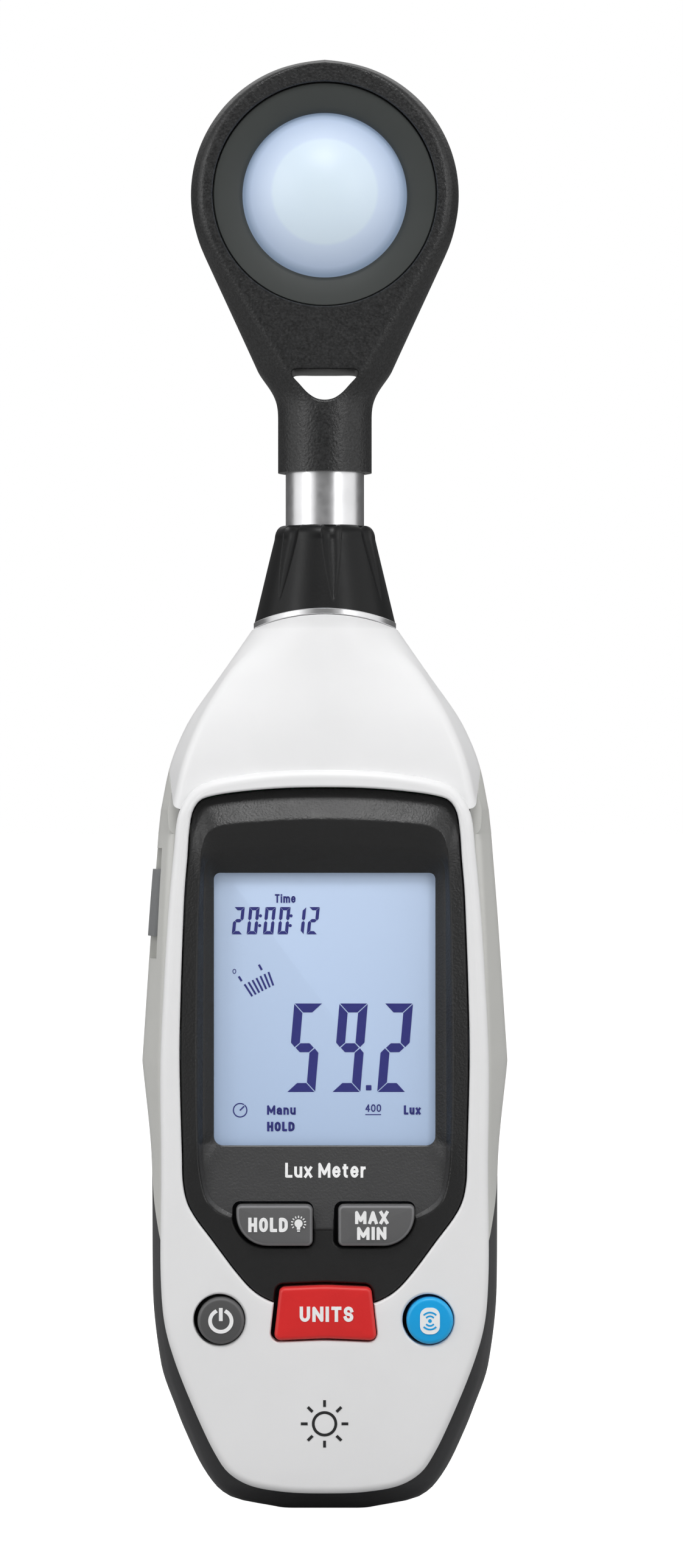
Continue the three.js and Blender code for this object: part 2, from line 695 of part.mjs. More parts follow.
function makeBatteryDoor() {
  const panel = outer.intersect(prismY(doorShape(0), DOOR.innerY, 20));
  const tabs = DOOR_TAB_X.map((x) => {
    const wide = [x - DOOR_TAB.half, x + DOOR_TAB.half];
    const tongue = box(wide, DOOR_TAB.y, [DOOR_TAB.low, DOOR.high + DOOR_TAB.reach]);
    return tongue.add(box(wide, DOOR_TAB.rootY, [DOOR_TAB.low, DOOR.high - 0.2]));
  });
  const seat = rodY(SCREW_HEAD_R + GAP, 15.4, 20, 0, DOOR_SCREW_Z, 20);
  const through = rodY(SCREW_R + GAP, 10, 20, 0, DOOR_SCREW_Z, 16);
  const grips = [0, 1, 2, 3].map((i) => {
    const low = DOOR_GRIP.low + i * DOOR_GRIP.pitch;
    return box([-DOOR_GRIP.half, DOOR_GRIP.half], [DOOR_GRIP.floorY, 20], [low, low + DOOR_GRIP.height]);
  });
  const door = [seat, through, ...grips].reduce(
    (rest, cut) => rest.subtract(cut),
    tabs.reduce((all, tab) => all.add(tab), panel),
  );
  add("battery_door", door, flankPlastic);
  const screw = rodY(SCREW_HEAD_R, 15.7, 16.8, 0, DOOR_SCREW_Z, 20)
    .add(rodY(SCREW_R, 10.6, 15.8, 0, DOOR_SCREW_Z, 12))
    .subtract(box([-1.4, 1.4], [16.3, 18], [DOOR_SCREW_Z - 0.35, DOOR_SCREW_Z + 0.35]));
  add("battery_door_screw", screw, steel);
}

function makeTripodInsert() {
  const insert = rodY(TRIPOD.insertR, TRIPOD.frontY, BACK_Y, 0, TRIPOD_Z).subtract(
    rodY(TRIPOD.boreR, TRIPOD.floorY, 20, 0, TRIPOD_Z),
  );
  add("tripod_insert", insert, brass);
}

// ---------------------------------------------------------------- neck

function makeNeck() {
  const tube = latheZ([[10.3, 154], [12.84, 154], [12.84, 164], [10.3, 164]], 48);
  const ring = tube.intersect(archRegion(ARCH_R + GAP + 0.8).subtract(archRegion(ARCH_R + GAP)));
  add("neck_ring", ring, chrome);

  const cone = latheZ(
    [
      [10.3, 155], [12.95, 157.8], [12.7, 158.9], [9.3, 173.4], [8.6, 175.2], [7.45, 176.4],
      [7.45, 171.2], [8.9, 171.2], [8.9, 164.4], [10.3, 164.4],
    ],
    42,
  );
  const FLUTES = 7;
  const FIRST_FLUTE = 0.134; // radians from the front centre
  let collar = cone.subtract(archRegion(ARCH_R + 2 * GAP + 0.8));
  for (let i = 0; i < FLUTES; i++) {
    const angle = FIRST_FLUTE + (i * TURN) / FLUTES;
    const groove = new THREE.CylinderGeometry(1.7, 0.2, 15.5, 8).rotateX(Math.PI / 2);
    groove.rotateX(-0.14).translate(0, -10.9, 170);
    collar = collar.subtract(solidOf(groove.rotateZ(angle)));
  }
  add("neck_collar", collar, headPlastic);

  const bush = latheZ([[7.4, 153], [8.55, 153], [8.55, 168.6], [7.4, 168.6]], 48);
  add("stem_bush", bush, whitePlastic);
  const friction = latheZ([[7.25, 169], [8.6, 169], [8.6, 170.8], [7.25, 170.8]], 48);
  add("friction_ring", friction, bootRubber);
}

// ---------------------------------------------------------------- sensor head

// Cross-sections of the head: z, half width of its flat front and back, half depth, widest half
// width, and half the height of the edge at that width.
const HEAD_ROWS = [
  [203, 6.5, 8, 11.5, 2.5],
  [215, 13.7, 8, 17, 3],
  [226.3, 20.2, 8, 22.1, 4],
  [235.8, 22.4, 8, 24.1, 4.5],
  [245, 20.4, 8, 22.3, 4.5],
  [252, 15.5, 8, 17.8, 4.5],
  [256, 9.6, 8, 13.1, 4.5],
  [258.2, 3, 7.8, 8.6, 4.5],
  [259.9, 1.2, 4.2, 2.6, 2.5],
];
const SOCKET_R = 8.45;
const SOCKET_LOW_Z = 185.9;

function headSection([, flat, depth, wide, edge]) {
  return [
    [0, -depth], [flat - 0.8, -depth], [flat, -depth + 0.4], [wide, -edge],
    [wide, edge], [flat, depth - 0.4], [flat - 0.8, depth], [0, depth],
  ];
}

function strapHole() {
  const half = [[0, 198.7], [2.4, 199.5], [5.2, 202.2], [5.9, 203.2], [5.4, 204.1], [0, 204.1]];
  return prismY(shapeOf(mirrored(half)), -12, 12);
}

const LEAD_ROUTE = [
  [0, 146.5], [0, 170], [0, 190], [0.6, 193.6], [3.6, 196.4], [7.2, 199.6], [8.9, 203.6],
  [9.3, 210], [8, 217.5],
];

function leadSolid(radius, route = LEAD_ROUTE) {
  const path = new THREE.CatmullRomCurve3(route.map(([x, z]) => new THREE.Vector3(x, 0, z)));
  const section = new THREE.Shape();
  section.absarc(0, 0, radius, 0, TURN);
  return solidOf(
    new THREE.ExtrudeGeometry(section, { steps: 26, extrudePath: path, curveSegments: 4 }),
  );
}

const HEAD_SCREWS = [[0, 210.2], [-17, 221.6], [17, 221.6]];
const HEAD_SCREW = { headY: 6.2, length: 11 };
const SOCKET_HIGH_Z = 195.6;
const CAVITY_R = 19.3;
const SEAT_R = 20.3;

function makeHeadShells() {
  const levels = HEAD_ROWS.map((row) => ({ z: row[0], half: headSection(row) }));
  const socket = [SOCKET_LOW_Z, SOCKET_HIGH_Z].map((z) => ({ z, half: neckSection(SOCKET_R) }));
  const cavity = rodY(CAVITY_R, -6, 6, 0, HEAD_Z, 40);
  const seat = rodY(SEAT_R, -12, -5.4, 0, HEAD_Z, 48);
  const screws = HEAD_SCREWS.map(([x, z]) =>
    rodY(SCREW_R + GAP, -5.5, 12, x, z, 14).add(rodY(SCREW_HEAD_R + GAP, 5.9, 12, x, z, 20)),
  );
  const cuts = [
    cavity,
    strapHole(),
    rodZ(STEM_R + GAP, 180, STEM_TOP_Z + GAP),
    leadSolid(1.5, LEAD_ROUTE.slice(2)),
    ...screws,
  ];
  const head = cuts.reduce((rest, cut) => rest.subtract(cut), loft([...socket, ...levels]));
  const front = box([-30, 30], [-12, -0.15], [180, 262]);
  const back = box([-30, 30], [0.15, 12], [180, 262]);
  add("head_front_shell", head.intersect(front).subtract(seat), headPlastic);
  add("head_rear_shell", head.intersect(back), headPlastic);
  HEAD_SCREWS.forEach(([x, z], i) => {
    const mesh = add(`head_screw_${i + 1}`, screwGeometry(HEAD_SCREW.length), steel);
    mesh.position.set(x, HEAD_SCREW.headY, z);
  });
}

// A turned piece about the diffuser's Y axis; its profile is radius and distance to the front.
function turnedAtDiffuser(profile, sides) {
  const solid = solidOf(lathe(profile, sides));
  return solid.rotate([0, 0, 180]).translate([0, 0, HEAD_Z]);
}

function makeSensor() {
  const DOME_R = 14.3;
  const ring = [[14.7, 5.7], [20, 5.7], [20, 7.4], [14.7, 6.9]];
  add("diffuser_ring", turnedAtDiffuser(ring, 48), ringPlastic);
  const flange = [[DOME_R, 5.4], [17, 5.4], [17, 3.8], [12.6, 3.8]];
  const dome = [[0, 13.2], [5.4, 12.5], [10, 10.4], [13, 8], [DOME_R, 5.7], ...flange];
  const inside = [[12.6, 5.4], [11.6, 7.4], [9, 9.4], [4.9, 11.2], [0, 11.8]];
  const domeSolid = turnedAtDiffuser([...dome, ...inside].reverse(), 40);
  add("diffuser_dome", domeSolid, opal);
  add("sensor_filter", rodY(5, -2.6, -1, 0, HEAD_Z, 24), greenGlass);
  add("photodiode", rodY(4.2, -0.7, 1.6, 0, HEAD_Z, 24), steel);
  add("sensor_board", rodY(15, 1.9, 3.3, 0, HEAD_Z, 32), circuitBoard);
}

const LEAD_R = 1.1;

function makeStem() {
  const tube = latheZ(
    [[5.7, STEM_BOTTOM_Z], [STEM_R, STEM_BOTTOM_Z], [STEM_R, STEM_TOP_Z], [5.7, STEM_TOP_Z]],
    48,
  );
  add("stem_tube", tube, chrome);
  const clip = latheZ([[7.3, 150.6], [9.5, 150.6], [9.5, 152], [7.3, 152]], 40);
  add("stem_clip", clip, steel);
  add("sensor_lead", leadSolid(LEAD_R), chipPlastic);
  const tail = new THREE.CatmullRomCurve3([
    new THREE.Vector3(0, 0, 146.1),
    new THREE.Vector3(0, 0, 142),
    new THREE.Vector3(0, -2.4, 136),
    new THREE.Vector3(0, -2.7, 130.3),
  ]);
  const section = new THREE.Shape();
  section.absarc(0, 0, LEAD_R, 0, TURN);
  const lead = new THREE.ExtrudeGeometry(section, {
    steps: 8,
    extrudePath: tail,
    curveSegments: 4,
  });
  add("sensor_lead_tail", solidOf(lead), chipPlastic);
}

makeFrontHousing();
makeRearHousing();
makeBoot();
makeBezel();
makeKeys();
makeDisplay();
makeElectronics();
makePortCover();
makeBatteries();
makeCaseScrews();
makeBatteryDoor();
makeTripodInsert();
makeNeck();
makeHeadShells();
makeSensor();
makeStem();

meter.position.set(0, -BACK_Y, -TRIPOD_Z);
const part = new THREE.Group();
part.add(meter);

export default part;
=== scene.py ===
"""Looks, camera and light for the handheld light meter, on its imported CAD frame.

Shapes are drawn in case millimetres: x to the right, y from the front to the back with the flat back
at 17, z up from the boot's lowest point. place() turns them into the frame's metres.
"""

import math

import bmesh
import bpy
import numpy as np
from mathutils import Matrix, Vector


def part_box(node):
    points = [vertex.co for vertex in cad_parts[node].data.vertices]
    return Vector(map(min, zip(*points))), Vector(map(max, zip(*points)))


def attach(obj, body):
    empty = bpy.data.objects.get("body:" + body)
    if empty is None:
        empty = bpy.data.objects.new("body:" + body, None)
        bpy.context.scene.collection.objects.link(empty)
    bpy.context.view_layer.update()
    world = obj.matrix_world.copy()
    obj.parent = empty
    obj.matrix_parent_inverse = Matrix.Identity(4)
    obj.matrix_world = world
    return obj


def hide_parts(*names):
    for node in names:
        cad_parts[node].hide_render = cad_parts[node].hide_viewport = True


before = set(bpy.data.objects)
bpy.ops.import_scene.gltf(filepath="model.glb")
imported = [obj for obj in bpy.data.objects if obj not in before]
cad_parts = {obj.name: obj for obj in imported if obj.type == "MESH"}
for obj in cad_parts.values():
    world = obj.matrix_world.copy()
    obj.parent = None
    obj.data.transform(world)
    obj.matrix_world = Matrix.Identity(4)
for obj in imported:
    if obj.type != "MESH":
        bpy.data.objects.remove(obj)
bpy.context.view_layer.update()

MM = 0.001
BACK_Y = 17
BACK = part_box("rear_housing")[1].y
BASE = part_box("rubber_boot")[0].z
TURN = 2 * math.pi
# Sides of cutters that reach past the case and the head.
ACROSS = (-40, 40)
# The dome's rim radius, how far it stands out, and the sphere that it is a cap of.
DOME_R, DOME_RISE = 14.3, 8.4
DOME_SPHERE = (DOME_R**2 + DOME_RISE**2) / (2 * DOME_RISE)


def place(x, y, z):
    """A point in case millimetres as a point of the frame in metres."""
    return (x * MM, BACK + (y - BACK_Y) * MM, BASE + z * MM)


def in_case(point):
    """A point of the frame in case millimetres."""
    x, y, z = point
    return (x / MM, (y - BACK) / MM + BACK_Y, (z - BASE) / MM)


def case_box(node):
    """A CAD node's lowest and highest corners in case millimetres."""
    return [in_case(corner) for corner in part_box(node)]


def middle(node):
    """The centre of a CAD node's box in case millimetres."""
    low, high = case_box(node)
    return [(a + b) / 2 for a, b in zip(low, high)]


# ---------------------------------------------------------------- materials


def add_node(tree, kind, inputs=None, **settings):
    """A node with its settings and inputs; an input is a value or another node's output."""
    node = tree.nodes.new(kind)
    for name, value in settings.items():
        setattr(node, name, value)
    for socket, value in (inputs or {}).items():
        if isinstance(value, bpy.types.NodeSocket):
            tree.links.new(value, node.inputs[socket])
        else:
            node.inputs[socket].default_value = value
    return node


def feed(shader, socket, output):
    """Links a node's output to one of the shader's sockets."""
    shader.id_data.links.new(output, shader.inputs[socket])


def principled(name, color, roughness, metallic=0.0, specular=0.5):
    """A new material and its shader."""
    material = bpy.data.materials.new(name)
    material.use_nodes = True
    shader = material.node_tree.nodes["Principled BSDF"]
    shader.inputs["Base Color"].default_value = (*color, 1)
    shader.inputs["Roughness"].default_value = roughness
    shader.inputs["Metallic"].default_value = metallic
    shader.inputs["Specular IOR Level"].default_value = specular
    return material, shader


def where_on(tree):
    """The place on the piece, which moves along with its body."""
    return add_node(tree, "ShaderNodeTexCoord").outputs["Object"]


def noise(tree, size, detail=2.0):
    """Noise whose features are about size millimetres across."""
    inputs = {"Vector": where_on(tree), "Scale": 0.5 / (size * MM), "Detail": detail}
    return add_node(tree, "ShaderNodeTexNoise", inputs).outputs["Fac"]


def ramp(tree, share, stops, interpolation="LINEAR"):
    """Colours over a share from 0 to 1, from stops of position and colour."""
    node = add_node(tree, "ShaderNodeValToRGB", {"Fac": share})
    node.color_ramp.interpolation = interpolation
    elements = node.color_ramp.elements
    for element, (position, color) in zip(elements, (stops[0], stops[-1])):
        element.position = position
        element.color = (*color, 1)
    for position, color in stops[1:-1]:
        elements.new(position).color = (*color, 1)
    return node.outputs["Color"]


def height_share(tree, node):
    """How far up a CAD node's box a point lies, from 0 to 1."""
    low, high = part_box(node)
    split = add_node(tree, "ShaderNodeSeparateXYZ", {"Vector": where_on(tree)})
    inputs = {"Value": split.outputs["Z"], "From Min": low.z, "From Max": high.z}
    return add_node(tree, "ShaderNodeMapRange", inputs).outputs["Result"]


def add_grain(shader, size, depth):
    """Bumps of that size and depth in millimetres."""
    tree = shader.id_data
    inputs = {"Height": noise(tree, size), "Distance": depth * MM}
    feed(shader, "Normal", add_node(tree, "ShaderNodeBump", inputs).outputs["Normal"])


def add_mottle(shader, color, spread, size=6.0):
    """Slow drift of the base colour by a factor of 1 - spread to 1 + spread."""
    tree = shader.id_data
    dark = [c * (1 - spread) for c in color]
    light = [min(1, c * (1 + spread)) for c in color]
    feed(shader, "Base Color", ramp(tree, noise(tree, size, 3.0), [(0.3, dark), (0.7, light)]))


def add_roughness(shader, low, high, size=1.5):
    """Roughness that drifts between low and high."""
    tree = shader.id_data
    inputs = {"Value": noise(tree, size, 4.0), "To Min": low, "To Max": high}
    feed(shader, "Roughness", add_node(tree, "ShaderNodeMapRange", inputs).outputs["Result"])


def add_painted_highlight(shader, highlight_color):
    """Painted highlight: blends from the linked colour to highlight_color where the mesh's "edge"
    attribute is 1.
    """
    tree = shader.id_data
    edge = add_node(tree, "ShaderNodeAttribute", attribute_name="edge")
    under = shader.inputs["Base Color"].links[0].from_socket
    inputs = {"Factor": edge.outputs["Fac"], "A": under, "B": (*highlight_color, 1)}
    mix = add_node(tree, "ShaderNodeMix", inputs, data_type="RGBA")
    feed(shader, "Base Color", mix.outputs["Result"])


def moulded(
    name, color, rough, grain=0.25, depth=0.02, mottle=0.03, specular=0.5, edge=None, patch=6.0
):
    """Moulded plastic with a fine spark-eroded grain."""
    material, shader = principled(name, color, rough, 0.0, specular)
    add_grain(shader, grain, depth)
    add_mottle(shader, color, mottle, patch)
    add_roughness(shader, rough * 0.88, min(1, rough * 1.12))
    # edge is the colour of a painted highlight, laid where the "edge" attribute is 1.
    if edge:
        add_painted_highlight(shader, edge)
    return material


def rubber(name, color, rough=0.62, grain=0.2, depth=0.02, edge=None):
    """Soft matt rubber."""
    material, shader = principled(name, color, rough, 0.0, 0.4)
    shader.inputs["Sheen Weight"].default_value = 0.06
    add_grain(shader, grain, depth)
    add_mottle(shader, color, 0.05)
    add_roughness(shader, rough * 0.9, min(1, rough * 1.1))
    # edge is the colour of a painted highlight, laid where the "edge" attribute is 1.
    if edge:
        add_painted_highlight(shader, edge)
    return material


def metal(name, color, rough, grain=0.15, depth=0.002):
    """Bare or plated metal with faint polishing marks."""
    material, shader = principled(name, color, rough, 1.0)
    add_grain(shader, grain, depth)
    add_mottle(shader, color, 0.04, 2.0)
    add_roughness(shader, rough * 0.8, rough * 1.25, 0.8)
    return material


def vector_math(tree, operation, a, b=(0, 0, 0)):
    return add_node(tree, "ShaderNodeVectorMath", {0: a, 1: b}, operation=operation)


def opal_with_painted_shade():
    """Milky acrylic with painted shade and glow: darker and bluer at the rim, a paler disc in the
    middle.
    """
    x, _, z = middle("diffuser_dome")
    material, shader = principled("opal_acrylic_painted_shade", (0.66, 0.76, 0.88), 0.22, 0.0, 0.3)
    tree = material.node_tree
    from_centre = vector_math(tree, "SUBTRACT", where_on(tree), place(x, 0, z))
    flat = vector_math(tree, "MULTIPLY", from_centre.outputs["Vector"], (1, 0, 1))
    length = vector_math(tree, "LENGTH", flat.outputs["Vector"])
    inputs = {0: length.outputs["Value"], 1: 1 / (DOME_R * MM)}
    share = add_node(tree, "ShaderNodeMath", inputs, operation="MULTIPLY")
    # Painted shade: darker and bluer towards the rim, with a paler disc in the middle.
    stops = [
        (0.0, (0.36, 0.42, 0.465)),
        (0.64, (0.355, 0.415, 0.47)),
        (0.68, (0.32, 0.375, 0.46)),
        (0.92, (0.27, 0.325, 0.42)),
        (1.0, (0.17, 0.22, 0.30)),
    ]
    color = ramp(tree, share.outputs["Value"], stops)
    feed(shader, "Base Color", color)
    # Painted glow: the dome gives off its own colour as light, though it is no lamp.
    feed(shader, "Emission Color", color)
    shader.inputs["Emission Strength"].default_value = 0.85
    shader.inputs["Subsurface Weight"].default_value = 0.35
    shader.inputs["Subsurface Radius"].default_value = (0.9, 1.0, 1.1)
    shader.inputs["Subsurface Scale"].default_value = 0.003
    add_roughness(shader, 0.34, 0.42, 3.0)
    add_grain(shader, 2.0, 0.004)
    return material


def circuit_material():
    """Green solder mask with copper tracks showing through it."""
    material, shader = principled("solder_mask", (0.012, 0.11, 0.045), 0.35)
    tree = material.node_tree
    upright = {"Vector": where_on(tree), "Rotation": (math.pi / 2, 0, 0)}
    turn = add_node(tree, "ShaderNodeMapping", upright)
    inputs = {
        "Vector": turn.outputs["Vector"],
        "Scale": 130,
        "Mortar Size": 0.03,
        "Color1": (0.012, 0.11, 0.045, 1),
        "Color2": (0.014, 0.13, 0.052, 1),
        "Mortar": (0.03, 0.24, 0.1, 1),
    }
    feed(shader, "Base Color", add_node(tree, "ShaderNodeTexBrick", inputs).outputs["Color"])
    add_roughness(shader, 0.3, 0.42)
    add_grain(shader, 0.6, 0.01)
    return material


def cell_material():
    """Shrink sleeve of a cell: two colour fields that meet a third of the way down."""
    material, shader = principled("cell_sleeve", (0.02, 0.09, 0.16), 0.3)
    tree = material.node_tree
    stops = [(0.0, (0.015, 0.06, 0.05)), (0.64, (0.45, 0.3, 0.09))]
    feed(shader, "Base Color", ramp(tree, height_share(tree, "battery_1"), stops, "CONSTANT"))
    add_roughness(shader, 0.22, 0.36)
    add_grain(shader, 3.0, 0.01)
    return material


def window_material():
    """Clear acrylic, nearly invisible but for its gloss."""
    material, shader = principled("window_acrylic", (0.03, 0.04, 0.06), 0.05)
    shader.inputs["Alpha"].default_value = 0.035
    add_roughness(shader, 0.03, 0.08, 4.0)
    return material


def display_material():
    """Backlit light blue liquid crystal cell, a little brighter at the top; part of its glow is
    painted.
    """
    material, shader = principled("lit_display", (0.50, 0.62, 0.82), 0.35)
    # Emission: the backlight, and painted light that lifts the shade of the recess round the display.
    shader.inputs["Emission Strength"].default_value = 0.18
    tree = material.node_tree
    stops = [(0.0, (0.47, 0.60, 0.82)), (1.0, (0.53, 0.65, 0.85))]
    color = ramp(tree, height_share(tree, "lcd_glass"), stops)
    feed(shader, "Base Color", color)
    feed(shader, "Emission Color", color)
    return material


def print_ink(name, color, rough=0.45):
    """Printing ink."""
    material, shader = principled(name, color, rough)
    add_mottle(shader, color, 0.03, 0.8)
    add_roughness(shader, rough * 0.85, rough * 1.15, 0.5)
    return material


WHITE = moulded("white_abs", (0.79, 0.79, 0.795), 0.42, 0.3, 0.006, 0.012)
FLANK = moulded("warm_grey_abs", (0.60, 0.60, 0.575), 0.45, 0.35, 0.008, 0.015)
# The bezel's last colour is a painted reflection that makes the ramp below the window lighter.
BEZEL_BLACK = moulded(
    "bezel_black", (0.0068, 0.0068, 0.007), 0.4, 0.2, 0.07, 0.08, 0.5, (0.04, 0.04, 0.041)
)
HEAD_BLACK = moulded(
    "head_black", (0.0165, 0.0167, 0.017), 0.36, 0.24, 0.1, 0.6, 0.42, patch=0.2
)
COLLAR_BLACK = moulded("collar_black", (0.0045, 0.0047, 0.005), 0.36, 0.25, 0.015, 0.05, 0.24)
RING_GREY = moulded("dish_grey", (0.040, 0.044, 0.042), 0.5, 0.25, 0.006, 0.03, 0.3)
BOOT_GREY = rubber("boot_rubber", (0.036, 0.036, 0.038), 0.55, 0.28, 0.02)
PORT_GREY = rubber("port_rubber", (0.19, 0.195, 0.2), 0.6)
# Each key's edge colour is a painted highlight along its rounded top edge.
GREY_KEY = rubber("grey_key_rubber", (0.105, 0.105, 0.107), 0.5, edge=(0.19, 0.19, 0.195))
POWER_KEY = rubber("power_key_rubber", (0.075, 0.075, 0.076), 0.5, edge=(0.11, 0.11, 0.112))
RED_KEY = rubber("red_key_rubber", (0.66, 0.014, 0.014), 0.45, edge=(0.70, 0.03, 0.028))
BLUE_KEY = rubber("blue_key_rubber", (0.002, 0.35, 0.74), 0.38, edge=(0.01, 0.40, 0.78))
CHROME = metal("chrome", (0.78, 0.78, 0.79), 0.30)
STEEL = metal("plated_steel", (0.5, 0.51, 0.53), 0.3, 0.3, 0.004)
BRASS = metal("turned_brass", (0.6, 0.38, 0.12), 0.28)
OPAL_PAINTED_SHADE = opal_with_painted_shade()
BOARD = circuit_material()
SLEEVE = cell_material()
WINDOW = window_material()
DISPLAY = display_material()
SEGMENT = print_ink("segment_blue", (0.028, 0.030, 0.22), 0.5)
WHITE_PRINT = print_ink("white_print", (0.86, 0.86, 0.86))
BLACK_PRINT = print_ink("black_print", (0.01, 0.01, 0.011))
CHIP = moulded("chip_epoxy", (0.012, 0.012, 0.013), 0.55, 0.2, 0.01)
NYLON = moulded("white_nylon", (0.8, 0.8, 0.76), 0.5)
FILTER = moulded("filter_glass", (0.3, 0.5, 0.34), 0.1, 3.0, 0.002)
SEAL = rubber("black_silicone", (0.02, 0.02, 0.021), 0.6)

# ---------------------------------------------------------------- mesh making


def object_from(name, points, faces):
    """A mesh object from points in case millimetres, its doubled points merged."""
    mesh = bpy.data.meshes.new(name)
    mesh.from_pydata([place(*p) for p in points], [], faces)
    mesh.update()
    form = bmesh.new()
    form.from_mesh(mesh)
    bmesh.ops.remove_doubles(form, verts=form.verts, dist=1e-6)
    bmesh.ops.recalc_face_normals(form, faces=form.faces)
    form.to_mesh(mesh)
    form.free()
    piece = bpy.data.objects.new(name, mesh)
    bpy.context.collection.objects.link(piece)
    return piece


def finish_piece(piece, material, body, nodes=(), sharp=35):
    """Shading, material, and the body and CAD nodes that the piece goes with."""
    piece.data.materials.clear()
    piece.data.materials.append(material)
    piece.data.shade_smooth()
    piece.data.set_sharp_from_angle(angle=math.radians(sharp))
    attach(piece, body)
    if nodes:
        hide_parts(*nodes)
    return piece


def skin_faces(rings, size, joined=False):
    """Quads between consecutive closed rings of the same size, and back to the first if joined."""
    faces = []
    for i in range(rings if joined else rings - 1):
        a, b = i * size, ((i + 1) % rings) * size
        for j in range(size):
            k = (j + 1) % size
            faces.append((a + j, a + k, b + k, b + j))
    return faces


def skin(name, rings, joined=False):
    """A piece skinned over closed rings; its ends are capped unless the rings join up."""
    size = len(rings[0])
    points = [tuple(p) for ring in rings for p in ring]
    faces = skin_faces(len(rings), size, joined)
    if not joined:
        last = len(points) - size
        faces += [tuple(range(size)), tuple(range(last, last + size))]
    return object_from(name, points, faces)


def domed(name, rings, centre):
    """A piece skinned over rings, its first end flat and its last closed by a fan to centre."""
    size = len(rings[0])
    points = [tuple(p) for ring in rings for p in ring] + [tuple(centre)]
    faces = skin_faces(len(rings), size)
    faces.append(tuple(range(size)))
    last = (len(rings) - 1) * size
    tip = len(points) - 1
    faces += [(last + j, last + (j + 1) % size, tip) for j in range(size)]
    return object_from(name, points, faces)


def apply_modifiers(piece):
    """Bakes a piece's modifiers into its mesh."""
    graph = bpy.context.evaluated_depsgraph_get()
    mesh = bpy.data.meshes.new_from_object(piece.evaluated_get(graph))
    piece.modifiers.clear()
    piece.data = mesh


def combine(piece, tool, operation="DIFFERENCE", solver="MANIFOLD"):
    """Applies a boolean with a piece that is used up by it."""
    cut = piece.modifiers.new("cut", "BOOLEAN")
    cut.operation = operation
    cut.solver = solver
    cut.object = tool
    apply_modifiers(piece)
    bpy.data.objects.remove(tool)
    return piece


def cut_all(piece, tools):
    """Cuts a piece with each tool in turn."""
    for tool in tools:
        combine(piece, tool)
    return piece


def soften(piece, width, segments=2, angle=40):
    """Rounds the edges sharper than angle by width millimetres."""
    bevel = piece.modifiers.new("soften", "BEVEL")
    bevel.width = width * MM
    bevel.segments = segments
    bevel.limit_method = "ANGLE"
    bevel.angle_limit = math.radians(angle)
    apply_modifiers(piece)
    return piece


def prism_x(name, corners, low=-40, high=40):
    """A shape drawn in y and z, given width along x."""
    rings = [[(x, y, z) for y, z in corners] for x in (low, high)]
    return skin(name, rings)


def prism_y(name, corners, front, back):
    """A shape drawn in x and z, given depth along y."""
    rings = [[(x, y, z) for x, z in corners] for y in (front, back)]
    return skin(name, rings)


def block(name, x, y, z):
    """A box from its ranges in x, y and z."""
    corners = [(x[0], z[0]), (x[1], z[0]), (x[1], z[1]), (x[0], z[1])]
    return prism_y(name, corners, y[0], y[1])


def circle(radius, x=0.0, z=0.0, count=64):
    """Points round a circle, from its lowest point."""
    angles = [TURN * i / count for i in range(count)]
    return [(x + radius * math.sin(a), z - radius * math.cos(a)) for a in angles]


def turned_z(name, profile, count=96, x=0.0, y=0.0, joined=True):
    """A profile of radius and z turned about a vertical axis."""
    rings = []
    for radius, z in profile:
        rings.append([(x + cx, y + cy, z) for cx, cy in circle(radius, count=count)])
    return skin(name, rings, joined)


def turned_y(name, profile, x=0.0, z=0.0, count=64, joined=False):
    """A profile of radius and y turned about an axis along y. A radius of 0 closes it to a point."""
    rings = []
    for radius, y in profile:
        rings.append([(cx, y, cz) for cx, cz in circle(max(radius, 1e-4), x, z, count)])
    return skin(name, rings, joined)


def arc_steps(count):
    """Evenly spaced angles from 0 to a quarter turn."""
    return [i / count * math.pi / 2 for i in range(count + 1)]


def around(count):
    """Evenly spaced angles for a full turn."""
    return TURN * np.arange(count) / count


# ---------------------------------------------------------------- outlines


def spline(points, closed=False, steps=10):
    """A centripetal curve through the points."""
    pts = [np.array(p, float) for p in points]
    count = len(pts)
    if closed:
        padded = [pts[-1], *pts, pts[0], pts[1]]
    else:
        padded = [2 * pts[0] - pts[1], *pts, 2 * pts[-1] - pts[-2]]
    out = []
    for i in range(count if closed else count - 1):
        p0, p1, p2, p3 = padded[i : i + 4]
        t0 = 0.0
        t1 = t0 + math.sqrt(np.linalg.norm(p1 - p0))
        t2 = t1 + math.sqrt(np.linalg.norm(p2 - p1))
        t3 = t2 + math.sqrt(np.linalg.norm(p3 - p2))
        for step in range(steps):
            t = t1 + (t2 - t1) * step / steps
            a1 = (t1 - t) / (t1 - t0) * p0 + (t - t0) / (t1 - t0) * p1
            a2 = (t2 - t) / (t2 - t1) * p1 + (t - t1) / (t2 - t1) * p2
            a3 = (t3 - t) / (t3 - t2) * p2 + (t - t2) / (t3 - t2) * p3
            b1 = (t2 - t) / (t2 - t0) * a1 + (t - t0) / (t2 - t0) * a2
            b2 = (t3 - t) / (t3 - t1) * a2 + (t - t1) / (t3 - t1) * a3
            out.append((t2 - t) / (t2 - t1) * b1 + (t - t1) / (t2 - t1) * b2)
    if not closed:
        out.append(pts[-1])
    return np.array(out)


def mirrored(half):
    """A closed outline from its half on the +x side, bottom centre to top centre."""
    inner = [(-x, z) for x, z in half[-2:0:-1]]
    return [*half, *inner]


